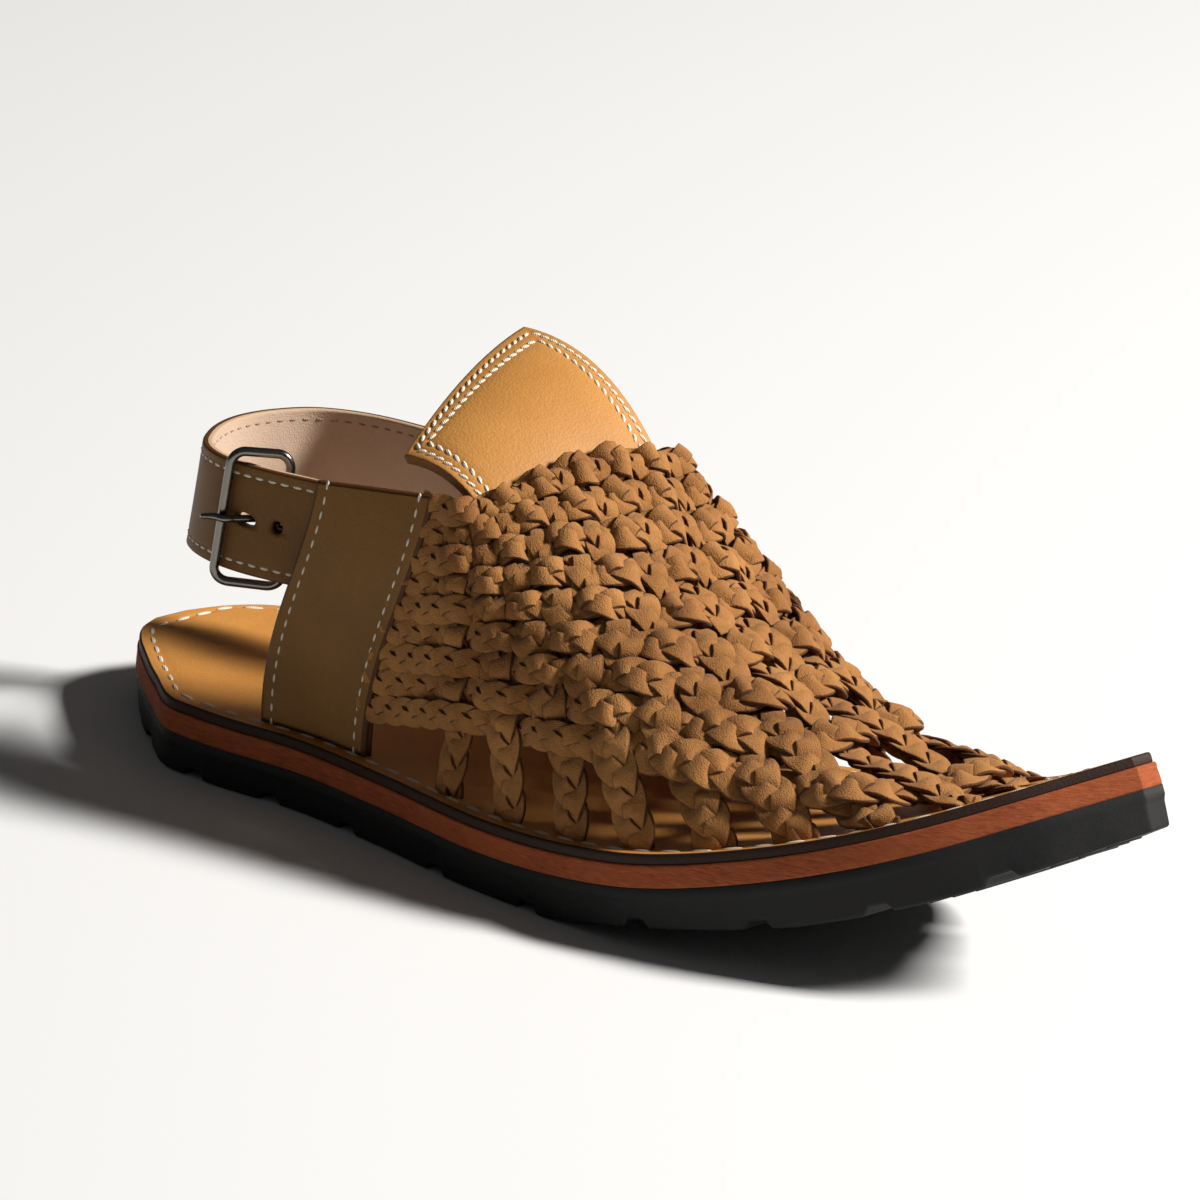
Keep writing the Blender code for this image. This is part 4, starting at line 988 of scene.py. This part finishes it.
def grid_normals(grid, toward):
    """Outward directions of a grid, on the side that toward points to."""
    n = unit(np.cross(np.gradient(grid, axis=1), np.gradient(grid, axis=0)))
    return n if (n * np.asarray(toward, float)).sum(-1).mean() > 0 else -n


def facing_out(one_way, other_way, axis, side=1):
    """Unit normals along a line, turned to the given side of an axis."""
    facing = unit(np.cross(one_way, other_way))
    return facing * np.sign(facing[:, axis] * side)[:, None]


def edge_spaced(length, inset, pitch=2.2):
    """Distances across a sheet: close together by both borders and at the sewn lines, then even."""
    near = [0.0, 0.9, 1.6, inset - 0.6, inset, inset + 0.6, inset + 1.4]
    count = max(3, int((length - 2 * near[-1]) / pitch))
    middle = list(np.linspace(near[-1], length - near[-1], count)[1:-1])
    return np.array(near + middle + [length - d for d in reversed(near)])


def sewn(distance, inset, depth=0.22):
    """How deep a sewn line presses the leather at a distance from the border."""
    return depth * np.exp(-(((distance - inset) / 0.55) ** 2))


# %% [markdown]
# Stitches are one small rounded bar, set again and again along a line. The tree cuts the line into
# equal steps, puts a bar on each, turns it along the line and lays it flat on the leather. The
# bars are a little sunk, so that both ends dive into the hide as real thread does.

# %% Geometry tree for a row of stitches
def stitch_tree():
    """Rounded bars at equal steps along each line."""
    sizes = {"Pitch": 0.004, "Stitch length": 0.0028, "Thread width": 0.0008, "Thread height": 0.0006,
             "Lift": 0.0001, "Slant": 0.0}
    tree, given, out = lines_tree("stitch_row", sizes, "Stitches")
    source, pitch, long, wide, tall, lift, slant, material = given
    curve = add(tree, "GeometryNodeMeshToCurve", {0: source}).outputs[0]
    spots = add(tree, "GeometryNodeCurveToPoints", {"Curve": curve, "Length": pitch}, mode="LENGTH")
    up_way = named(tree, "up_way", "FLOAT_VECTOR")
    turn = add(tree, "FunctionNodeAlignRotationToVector", {"Vector": spots.outputs["Tangent"]}, axis="X")
    turn = add(tree, "FunctionNodeAlignRotationToVector", {"Rotation": turn.outputs[0], "Vector": up_way},
               axis="Z", pivot_axis="X")
    lean = add(tree, "FunctionNodeAxisAngleToRotation", {"Axis": (0.0, 0.0, 1.0), "Angle": slant})
    feeds = {"Rotation": turn.outputs[0], "Rotate By": lean.outputs[0]}
    turn = add(tree, "FunctionNodeRotateRotation", feeds, rotation_space="LOCAL")
    bar = add(tree, "GeometryNodeMeshUVSphere", {"Segments": 8, "Rings": 6, "Radius": 0.5}).outputs[0]
    size = add(tree, "ShaderNodeCombineXYZ", {0: long, 1: wide, 2: tall}).outputs[0]
    bar = add(tree, "GeometryNodeTransform", {"Geometry": bar, "Scale": size}).outputs[0]
    feeds = {"Geometry": spots.outputs[0], "Offset": scaled(tree, up_way, lift)}
    lifted = add(tree, "GeometryNodeSetPosition", feeds).outputs[0]
    feeds = {"Points": lifted, "Instance": bar, "Rotation": turn.outputs[0]}
    bars = add(tree, "GeometryNodeInstanceOnPoints", feeds).outputs[0]
    return close_tree(tree, bars, material, out)


STITCHES = stitch_tree()


def stitch(name, lines, finish, thread, pitch, length, width=0.85, height=0.6, lift=0.0, slant=0.0):
    """Sews along lines, with sizes in millimetres and the slant in degrees."""
    sizes = {"Pitch": pitch, "Stitch length": length, "Thread width": width, "Thread height": height,
             "Lift": lift}
    sizes = {label: size * MM for label, size in sizes.items()}
    sizes |= {"Slant": math.radians(slant), "Material": thread}
    keep(settle(lines_object(lines), STITCHES, name, sizes), finish)


SEWN_LINE_END, SEWN_LINE_SINK = 285.0, 0.2


def insole_stitch_line():
    """The sewn line round the insole, inset from its outline."""
    s = np.linspace(STITCH_LINE_INSET, SEWN_LINE_END, 500)
    near = np.stack([s, lateral_edge(s) + STITCH_LINE_INSET], 1)
    far = np.stack([s, medial_edge(s) - STITCH_LINE_INSET], 1)
    s, y = np.vstack([near[::-1], far]).T
    return dict(points=on_spine(s, y, INSOLE_TOP - SEWN_LINE_SINK), up=sole_up(s))


stitch("insole_stitches", [insole_stitch_line()], "insole_leather", WHITE_THREAD, 7.4, 5.2, 1.25, 0.8)

# %% [markdown]
# The side panels are two plies of smooth leather, folded over at the top and sewn along the front
# and back. They carry the weave's end profile backward, and the braids run in between the plies.

# %% Side panels
PANEL_THICKNESS, PANEL_FOOT_WIDTH, PANEL_TOP_WIDTH = 3.2, 33.0, 35.0
PANEL_STAND_OFF, PANEL_GAP, PANEL_FLARE_POWER = 1.7, 0.3, 1.5
LATERAL_PANEL_DROP, MEDIAL_PANEL_DROP = 5.0, 3.5
PANEL_SEWN_INSET, PANEL_SEWN_SINK, PANEL_CROWN = 3.4, 0.15, 0.35


def panel_point(u, drop, side, share, v):
    """Point on a panel's outer face: share from its front edge back, v from the sole up."""
    share, v = np.broadcast_arrays(np.asarray(share, float), np.asarray(v, float))
    front = weave_surface(np.full_like(v, u), v)
    outward = weave_normal(np.full_like(v, u), v)
    outward[..., 0] = 0
    line = front + PANEL_STAND_OFF * unit(outward)
    line[..., 0] -= share * (PANEL_FOOT_WIDTH + (PANEL_TOP_WIDTH - PANEL_FOOT_WIDTH) * v) + PANEL_GAP
    foot = weave_surface(np.full_like(v, u), np.zeros_like(v)) + PANEL_STAND_OFF * np.array([0, side, 0])
    foot_s = foot[..., 0] - share * PANEL_FOOT_WIDTH - PANEL_GAP
    edge = lateral_edge(foot_s) + FOOT_INSET if side < 0 else medial_edge(foot_s) - FOOT_INSET
    line[..., 1] += (edge + side * PANEL_STAND_OFF - foot[..., 1]) * (1 - v) ** PANEL_FLARE_POWER
    line[..., 2] -= drop * share * v + 0.2 * (1 - v)
    return line


def make_panel(name, u, drop, side):
    across = edge_spaced(PANEL_FOOT_WIDTH, PANEL_SEWN_INSET)
    heights = np.concatenate([np.linspace(0, 0.97, 44), [0.985, 1.0]])
    grid = panel_point(u, drop, side, across[:, None] / PANEL_FOOT_WIDTH, heights[None, :])
    outward = grid_normals(grid, (0, side, 0.3))
    press = sewn(across, PANEL_SEWN_INSET) + sewn(PANEL_FOOT_WIDTH - across, PANEL_SEWN_INSET)
    crown = PANEL_CROWN * np.sin(math.pi * across / PANEL_FOOT_WIDTH) ** 0.5
    press = (press - crown)[:, None] * np.sin(math.pi * np.clip(heights, 0.02, 0.98))[None, :] ** 0.3
    hides = [PANEL_SHADED_HIDE, PANEL_SHADED_HIDE, LINING_HIDE]
    piece = leather(name, grid, outward, PANEL_THICKNESS, FOLDED_EDGE, hides, press)
    lines = []
    for share in (PANEL_SEWN_INSET / PANEL_FOOT_WIDTH, 1 - PANEL_SEWN_INSET / PANEL_FOOT_WIDTH):
        v = np.linspace(0.01, 0.985, 120)
        points = panel_point(u, drop, side, share, v)
        near = panel_point(u, drop, side, share + 0.02, v)
        facing = facing_out(near - points, np.gradient(points, axis=0), 1, side)
        lines.append(dict(points=points - facing * PANEL_SEWN_SINK, up=facing))
    return piece, lines


lateral_panel, lateral_seams = make_panel("lateral_panel_leather", 0.0, LATERAL_PANEL_DROP, -1)
keep(lateral_panel, "panel_leather", "lateral_panel")
medial_panel, medial_seams = make_panel("medial_panel_leather", 1.0, MEDIAL_PANEL_DROP, 1)
keep(medial_panel, "panel_leather", "medial_panel")
stitch("panel_stitches", lateral_seams + medial_seams, "panel_leather", WHITE_THREAD, 3.5, 2.5, 0.85, 0.6)

# %% [markdown]
# The instep plate is one thick piece of smooth leather, arched over the foot and tucked under the
# highest braid. Its free sides are raw, and two rows of cream thread run close together along them.

# %% Instep plate
PLATE_THICKNESS, PLATE_TUCK, PLATE_CLEARANCE = 3.0, 9.0, 0.35
PLATE_ARCH, PLATE_ARCH_WAY = 4.0, (0.12, -0.2, 0.97)
PLATE_CROWN, PLATE_CROWN_WAY, PLATE_CROWN_AT_LATERAL = 6.5, (0.3, 0.0, 0.95), 0.35
PLATE_CORNERS = ((101.3, -27.5, 88.3), (89.3, 27.5, 108.4))
PLATE_SPAN, WALL_INNER = (0.105, 0.720), 1.3
PLATE_SEWN, PLATE_SEWN_SINK = (2.6, 5.4), 0.2
PLATE_ACROSS, PLATE_ALONG, PLATE_SEAM_CORNER = 60.0, 37.0, 0.03
PLATE_BORDER = np.array([0.0, 0.9, 1.7, 2.2, 2.6, 3.0, 3.9, 5.0, 5.4, 5.8, 6.8])


def plate_point(w, t):
    """A point of the plate: w from lateral to medial, t from its tucked edge (-1) to its free one (1)."""
    w, t = np.broadcast_arrays(np.asarray(w, float), np.asarray(t, float))
    u = PLATE_SPAN[0] + (PLATE_SPAN[1] - PLATE_SPAN[0]) * w
    length = profile_length(u.ravel()).reshape(u.shape)
    v = 1 - np.clip(-t, 0, 1) * PLATE_TUCK / length
    tucked = weave_surface(u, v) - (WALL_INNER + PLATE_CLEARANCE) * weave_normal(u, v)
    a, b = (np.array(c) for c in PLATE_CORNERS)
    bulge = (PLATE_ARCH * 4 * w * (1 - w))[..., None] * np.array(PLATE_ARCH_WAY)
    rear = a + (b - a) * w[..., None] + bulge
    free = np.clip(t, 0, 1)[..., None]
    fullness = (PLATE_CROWN_AT_LATERAL + (1 - PLATE_CROWN_AT_LATERAL) * w)[..., None]
    crown = PLATE_CROWN * 4 * free * (1 - free) * fullness * np.array(PLATE_CROWN_WAY)
    return tucked + (rear - tucked) * free + crown


w_near, t_near = PLATE_BORDER / PLATE_ACROSS, PLATE_BORDER / PLATE_ALONG
w_grid = np.concatenate([w_near, np.linspace(w_near[-1], 1 - w_near[-1], 24)[1:-1], 1 - w_near[::-1]])
t_grid = [np.linspace(-1, 0, 6)[:-1], np.linspace(0, 1 - t_near[-1], 18)[:-1], 1 - t_near[::-1]]
t_grid = np.concatenate(t_grid)
plate_grid = plate_point(w_grid[None, :], t_grid[:, None])
plate_out = grid_normals(plate_grid, (0.3, 0, 1))


def plate_press():
    """How deep the sewn lines press the plate."""
    side = np.minimum(w_grid, 1 - w_grid)[None, :] * PLATE_ACROSS
    away = np.minimum(side, (1 - t_grid)[:, None] * PLATE_ALONG)
    return sum(sewn(away, inset, 0.28) for inset in PLATE_SEWN)


plate = leather("instep_plate_leather", plate_grid, plate_out, PLATE_THICKNESS, RAW_EDGE,
                [PLATE_HIDE, RAW_CUT, LINING_HIDE], plate_press())
keep(plate, "plate_leather", "instep_plate")


def plate_seam(inset):
    """A sewn line up the lateral side, along the free edge and down the medial side."""
    w_in, t_in, corner = inset / PLATE_ACROSS, 1 - inset / PLATE_ALONG, PLATE_SEAM_CORNER
    path = [(w_in, t) for t in np.linspace(-0.1, t_in - corner, 60)]
    path += [(w, t_in) for w in np.linspace(w_in + corner, 1 - w_in - corner, 90)]
    path += [(1 - w_in, t) for t in np.linspace(t_in - corner, -0.1, 60)]
    w, t = np.array(path).T
    points = plate_point(w, t)
    du = plate_point(np.clip(w + 0.01, 0, 1), t) - plate_point(np.clip(w - 0.01, 0, 1), t)
    dt = plate_point(w, t + 0.01) - plate_point(w, t - 0.01)
    facing = facing_out(du, dt, 2)
    return dict(points=points - facing * PLATE_SEWN_SINK, up=facing)


for k, inset in enumerate(PLATE_SEWN):
    stitch(f"plate_stitches_{k + 1}", [plate_seam(inset)], "plate_leather", WHITE_THREAD, 2.7, 2.6, 1.05, 0.9,
           slant=22.0 if k == 0 else -22.0)

# %% [markdown]
# The heel strap is a band of smooth leather with a pale lining, sewn along both edges. It passes
# through the buckle on the outer side. Of its two punched holes, one takes the prong and one is free.

# %% Heel strap
STRAP_THICKNESS, STRAP_HEIGHT, STRAP_MIDDLE, STRAP_LEAN, STRAP_REAR_DROP = 2.6, 26.5, 63.5, 1.3, 1.2
STRAP_SETTLE_START, STRAP_SETTLE_RUN = 0.24, 0.16
STRAP_PATH = (
    # x, y of the strap's middle line seen from above
    (92.0, -28.2),
    (84.0, -28.4),
    (76.0, -29.4),
    (68.0, -31.2),
    (59.0, -32.4),
    (50.0, -31.6),
    (41.5, -27.4),
    (34.0, -20.0),
    (28.6, -10.5),
    (26.0, 0.5),
    (27.2, 12.0),
    (32.5, 22.8),
    (44.0, 29.8),
    (60.0, 32.4),
    (76.0, 32.2),
    (92.0, 31.6),
)
STRAP_SHARES = np.linspace(0, 1, 2001)
STRAP_LINE = through(STRAP_PATH, STRAP_SHARES)
STRAP_LENGTH = float(np.linalg.norm(np.diff(STRAP_LINE, axis=0), axis=1).sum())
STRAP_SEWN_INSET = 2.6
LATERAL_HALF = STRAP_LINE[:, 1] < 0


def strap_share(x):
    return np.interp(-x, -STRAP_LINE[LATERAL_HALF][:, 0], STRAP_SHARES[LATERAL_HALF])


def strap_frame(share):
    """Middle point seen from above and the outward direction at shares of the strap."""
    share = np.asarray(share, float)
    mid = np.stack([np.interp(share, STRAP_SHARES, STRAP_LINE[:, a]) for a in (0, 1)], -1)
    after, before = np.clip(share + 0.004, 0, 1), np.clip(share - 0.004, 0, 1)
    along = [np.interp(after, STRAP_SHARES, line) - np.interp(before, STRAP_SHARES, line)
             for line in STRAP_LINE[:, :2].T]
    return mid, unit(np.stack([-along[1], along[0]], -1))


def strap_point(share, height):
    """A point of the strap's middle sheet and its outward direction."""
    share, height = np.broadcast_arrays(np.asarray(share, float), np.asarray(height, float))
    mid, out = strap_frame(share)
    settled = eased(np.clip((share - STRAP_SETTLE_START) / STRAP_SETTLE_RUN, 0, 1))
    lean = -STRAP_LEAN * height / (STRAP_HEIGHT / 2) * settled
    z = STRAP_MIDDLE + height - STRAP_REAR_DROP * settled
    flat = np.zeros(share.shape + (1,))
    return np.concatenate([mid + out * lean[..., None], z[..., None]], -1), np.concatenate([out, flat], -1)


STRAP_HOLES = (
    # x of the middle, half length, half height
    (59.8, 3.2, 1.7),
    (68.6, 1.7, 1.7),
)
STRAP_BORDER = (0.0, 0.8, 1.5, 2.1, STRAP_SEWN_INSET, 3.1, 3.9)
STRAP_LEVELS = (-7.5, -5.5, -3.6, -2.6, -1.7, -0.85, 0.0, 0.85, 1.7, 2.6, 3.6, 5.5, 7.5)


def strap_sheet():
    """Grid of shares and heights whose lines bend round each hole."""
    half = STRAP_HEIGHT / 2
    heights = [-half + d for d in STRAP_BORDER] + list(STRAP_LEVELS)
    heights = np.array(heights + [half - d for d in reversed(STRAP_BORDER)])
    centres = [(strap_share(x) * STRAP_LENGTH, a, b) for x, a, b in STRAP_HOLES]
    runs = [c + k * a for c, a, b in centres for k in (-1.0, -0.5, 0.0, 0.5, 1.0)]
    even = [r for r in np.linspace(0, STRAP_LENGTH, 130)
            if all(abs(r - c) > a + 0.9 for c, a, b in centres)]
    runs = np.array(sorted(runs + even))
    run, height = np.meshgrid(runs, heights, indexing="ij")
    cuts = []
    middle = int(np.argmin(np.abs(heights)))
    for c, a, b in centres:
        i0 = int(np.argmin(np.abs(runs - c)))
        cuts += [(i0 + di, middle + dj) for di in (-2, -1, 0, 1) for dj in (-2, -1, 0, 1)]
        for di in range(-2, 3):
            for dj in range(-2, 3):
                reach = max(abs(di), abs(dj)) / 2
                if reach > 0:
                    x, y = di / 2, dj / 2
                    size = math.hypot(x, y)
                    run[i0 + di, middle + dj] = c + a * reach * x / size
                    height[i0 + di, middle + dj] = b * reach * y / size
    return run / STRAP_LENGTH, height, cuts


strap_shares, strap_heights, strap_cuts = strap_sheet()
strap_mid, strap_out = strap_point(strap_shares, strap_heights)
strap_press = sewn(STRAP_HEIGHT / 2 - np.abs(strap_heights), STRAP_SEWN_INSET)
strap_face = strap_mid + strap_out * STRAP_THICKNESS / 2
strap = leather("heel_strap_leather", strap_face, strap_out, STRAP_THICKNESS, RAW_EDGE,
                [STRAP_SHADED_HIDE, STRAP_SHADED_HIDE, LINING_HIDE], strap_press, strap_cuts, lined=True)
keep(strap, "strap_leather", "heel_strap")


def strap_seams(face, lift):
    """The sewn lines along both edges of the strap, on its outer (1) or inner (-1) face."""
    lines = []
    for side in (-1, 1):
        height = side * (STRAP_HEIGHT / 2 - STRAP_SEWN_INSET)
        points, out = strap_point(np.linspace(0.01, 0.99, 300), height)
        lines.append(dict(points=points + out * face * (STRAP_THICKNESS / 2 + lift), up=out * face))
    return lines


stitch("strap_stitches", strap_seams(1, -0.15), "strap_leather", WHITE_THREAD, 3.4, 2.4, 0.8, 0.55)
stitch("lining_stitches", strap_seams(-1, 0.02), "strap_leather", BROWN_THREAD, 3.4, 2.0, 0.6, 0.35)

# %% [markdown]
# The buckle is bent from round wire: a frame with rounded corners and a prong whose eye hangs on
# the hidden bar. A tree sweeps a circle along each wire's line.

# %% Geometry tree for wire, and the buckle
def wire_tree():
    """A round wire along each line, thinned where the line's full attribute is below 1."""
    tree, (source, radius, material), out = lines_tree("bent_wire", {"Wire radius": 0.0011}, "Wire")
    curve = add(tree, "GeometryNodeMeshToCurve", {0: source}).outputs[0]
    ring = add(tree, "GeometryNodeCurvePrimitiveCircle", {"Resolution": 16, "Radius": radius}, mode="RADIUS")
    feeds = {"Curve": curve, "Profile Curve": ring.outputs[0], "Scale": named(tree, "full")}
    tube = add(tree, "GeometryNodeCurveToMesh", {**feeds, "Fill Caps": True}).outputs[0]
    return close_tree(tree, tube, material, out)


WIRE = wire_tree()
WIRE_RADIUS, PRONG_RADIUS, BAR_CLEARANCE = 1.15, 0.9, 0.45
TAB_THICKNESS, TAB_HEIGHT, TAB_FRONT, TAB_CLEARANCE, SLIT = 1.8, 19.0, 96.0, 0.4, 3.2
BUCKLE_HEIGHT, BUCKLE_CORNER, BUCKLE_SKEW_DEGREES = 32.5, 3.5, 6.0
HINGE_X, LEFT_BAR_X = 67.5, 54.6
PRONG_CLEARANCE, PRONG_OVERHANG, PRONG_TIP_X, PRONG_TIP_OUT = 0.5, 3.4, 56.5, 2.0
PRONG_EYE_DEGREES = 135.0
PRONG_RISE = ((62.8, -3.4), (61.6, -2.5), (59.8, 0.0), (58.2, 2.6), (56.9, 4.8))


def strap_at(x):
    """Middle of the strap and its outward direction on the lateral side."""
    return strap_frame(strap_share(x))


left_mid, left_out = strap_at(LEFT_BAR_X)
left_along = np.array([-left_out[1], left_out[0]])
hinge_mid, hinge_out = strap_at(HINGE_X)
left_bar = left_mid + left_out * (STRAP_THICKNESS / 2 + BAR_CLEARANCE + WIRE_RADIUS)
tab_wrap = WIRE_RADIUS + TAB_CLEARANCE + TAB_THICKNESS
hinge_bar = hinge_mid - hinge_out * (STRAP_THICKNESS / 2 + BAR_CLEARANCE + tab_wrap)


def frame_path():
    """Rounded rectangle in the plane through both bars, closed by one repeated point."""
    across = hinge_bar - left_bar
    length = float(np.linalg.norm(across))
    half, r = BUCKLE_HEIGHT / 2, BUCKLE_CORNER
    corners = ((r, half - r, math.pi), (length - r, half - r, math.pi / 2), (length - r, r - half, 0.0),
               (r, r - half, -math.pi / 2))
    path = []
    for along, height, start in corners:
        for turn in np.linspace(start, start - math.pi / 2, 12):
            a, h = along + r * math.cos(turn), height + r * math.sin(turn)
            skew = h * math.tan(math.radians(BUCKLE_SKEW_DEGREES)) * (1 - a / length)
            path.append((*(left_bar + across / length * a + left_along * skew), STRAP_MIDDLE + h))
    return np.array(path + path[:1])


def wire(name, path, radius, full=1.0):
    """A wire along a path of points in millimetres."""
    path = np.asarray(path, float)
    line = dict(points=path, up=np.broadcast_to((0.31, 0.17, 0.93), path.shape), full=full)
    return settle(lines_object([line]), WIRE, name, {"Wire radius": radius * MM, "Material": NICKEL})


keep(wire("buckle_wire_frame", frame_path(), WIRE_RADIUS), "buckle_metal", "buckle_frame")


def prong_path():
    """Eye round the hinge bar, then the shank up through the strap's hole and over the free bar."""
    ring = WIRE_RADIUS + BAR_CLEARANCE + PRONG_RADIUS
    rest = left_bar + left_out * (WIRE_RADIUS + PRONG_RADIUS + PRONG_CLEARANCE)
    tip_mid, tip_out = strap_at(PRONG_TIP_X)
    tip_way = unit(rest - tip_mid - tip_out * (1 + PRONG_TIP_OUT))
    toward = unit(rest - hinge_bar)
    aside = np.array([-toward[1], toward[0]])
    aside = aside if aside @ left_out > 0 else -aside
    eye = math.radians(PRONG_EYE_DEGREES)
    path = [hinge_bar - toward * ring * math.cos(t) + aside * ring * math.sin(t)
            for t in np.linspace(-eye, eye, 30)]
    shank = [strap_at(x)[0] + strap_at(x)[1] * off for x, off in PRONG_RISE]
    shank = through([path[-1], *shank, rest, rest + tip_way * PRONG_OVERHANG], np.linspace(0, 1, 50))[1:]
    return np.array([(*p, STRAP_MIDDLE) for p in [*path, *shank]])


prong_line = prong_path()
last = len(prong_line) - 1
taper = np.interp(np.arange(last + 1), [0, last - 8, last - 1, last], [1.0, 1.0, 0.75, 0.45])
keep(wire("buckle_wire_prong", prong_line, PRONG_RADIUS, taper), "prong_metal", "buckle_prong")

# %% [markdown]
# The tread is finely ribbed. Toward the toe, where the sole lifts off the floor, these ribs show as
# arched lines across each lug. The wire tree serves again: a thin rubber line, half sunk.

# %% Tread ribs under the toe
RIB_RADIUS, RIB_ARCH, RIB_START, RIB_SPACING = 0.55, 5.0, 200.0, 4.2
RIB_INSET, RIB_SINK = 3.5, 0.15


def tread_ribs():
    """Arched lines across the lugs from the ball to the toe, clear of each groove."""
    lines = []
    for s0 in np.arange(RIB_START, SOLE_LENGTH - 8.0, RIB_SPACING):
        low, high = float(lateral_edge(s0)) + RIB_INSET, float(medial_edge(s0)) - RIB_INSET
        y = np.linspace(low, high, 30)
        middle, half = (low + high) / 2, (high - low) / 2
        s = s0 - RIB_ARCH * (half / 40.0) * ((y - middle) / half) ** 2
        away = np.abs(s[:, None] - np.array(GROOVES) * SOLE_LENGTH).min()
        if away >= GROOVE_WIDTH / 2 + GROOVE_SLOPE + RIB_RADIUS:
            lines.append(dict(points=on_spine(s, y, outsole_underside(s) + RIB_SINK), up=-sole_up(s)))
    return lines


rib_sizes = {"Wire radius": RIB_RADIUS * MM, "Material": RUBBER}
keep(settle(lines_object(tread_ribs()), WIRE, "tread_ribs", rib_sizes), "outsole_rubber")

# %% [markdown]
# The hidden bar is held by a short leather tab that is folded round it and slit for the prong.

# %% Buckle tab
def make_tab():
    tab_inner = WIRE_RADIUS + TAB_CLEARANCE
    outer_line, inner_line = [], []
    for turn in np.linspace(math.radians(-81.0), math.pi, 26):
        way = unit(hinge_out * math.cos(turn) - np.array([1.0, 0.0]) * math.sin(turn))
        outer_line.append(hinge_bar + way * (tab_inner + TAB_THICKNESS))
        inner_line.append(hinge_bar + way * tab_inner)
    turns = len(outer_line)
    tail_y = (hinge_bar - hinge_out * (tab_wrap - TAB_THICKNESS / 2))[1]
    for x in np.linspace(HINGE_X + 4.0, TAB_FRONT, 16):
        near_strap = strap_at(min(x, 91.0))[0][1] + STRAP_THICKNESS / 2 + TAB_CLEARANCE + TAB_THICKNESS / 2
        blend = eased(min((x - HINGE_X) / 16.0, 1.0))
        y = tail_y * (1 - blend) + near_strap * blend
        outer_line.append(np.array([x, y + TAB_THICKNESS / 2]))
        inner_line.append(np.array([x, y - TAB_THICKNESS / 2]))
    half, slit = TAB_HEIGHT / 2, SLIT / 2
    levels = [-half, -half + 0.8, -half + 2, -slit, 0, slit, half - 2, half - 0.8, half]
    levels = STRAP_MIDDLE + np.array(levels)
    outer = np.array([[(*p, z) for z in levels] for p in outer_line])
    inner = np.array([[(*p, z) for z in levels] for p in inner_line])
    way = outer - inner
    thick = np.linalg.norm(way, axis=-1)
    cuts = [(i, j) for i in range(turns - 3) for j in (3, 4)]
    return leather("buckle_tab_leather", outer, way / thick[..., None], thick, RAW_EDGE,
                   [STRAP_SHADED_HIDE, STRAP_SHADED_HIDE, STRAP_SHADED_HIDE], 0.0, cuts)


keep(make_tab(), "tab_leather", "buckle_tab")

# %% [markdown]
# The light in the photograph comes from the right and behind, high up, so the outer side of the
# shoe lies in shade, and the braids' upper rims and the heel of the insole catch the light. A large
# soft light stands there, a weak one fills the shade, and the floor and world are pale.

# %% Floor, world and lights
FLOOR_HALF, FLOOR_LEVEL, WORLD_STRENGTH = 9.0, -0.0002, 0.05
floor_mesh = bpy.data.meshes.new("floor")
corners = [(x * FLOOR_HALF, y * FLOOR_HALF, FLOOR_LEVEL) for x, y in ((-1, -1), (1, -1), (1, 1), (-1, 1))]
floor_mesh.from_pydata(corners, [], [(0, 1, 2, 3)])
floor_look, *_ = blank_material("pale_floor", Roughness=0.9, Base_Color=(0.74, 0.74, 0.74, 1.0))
floor_mesh.materials.append(floor_look)
new_object("floor", floor_mesh)

world = bpy.context.scene.world or bpy.data.worlds.new("studio")
bpy.context.scene.world = world
world.use_nodes = True
background = world.node_tree.nodes["Background"].inputs
background[0].default_value, background[1].default_value = (1.0, 0.99, 0.97, 1.0), WORLD_STRENGTH


def area_light(name, way, distance, size, power, colour=(1.0, 1.0, 1.0)):
    """A square light that faces the middle of the shoe from the given direction."""
    data = bpy.data.lights.new(name, "AREA")
    data.size, data.energy, data.color = size, power, colour
    way = unit(np.array(way, float))
    side = unit(np.cross((0, 0, 1.0), way))
    spot = np.array([0, 0, 0.05]) + way * distance
    stand(bpy.data.objects.new(name, data), side, np.cross(way, side), way, spot)


area_light("key", (0.78, 0.55, 0.80), 4.0, 0.8, 325.0, (1.0, 0.98, 0.95))
area_light("fill", (0.5, -0.8, 0.75), 3.0, 2.4, 0.8)
bpy.context.scene.view_settings.view_transform = "Standard"
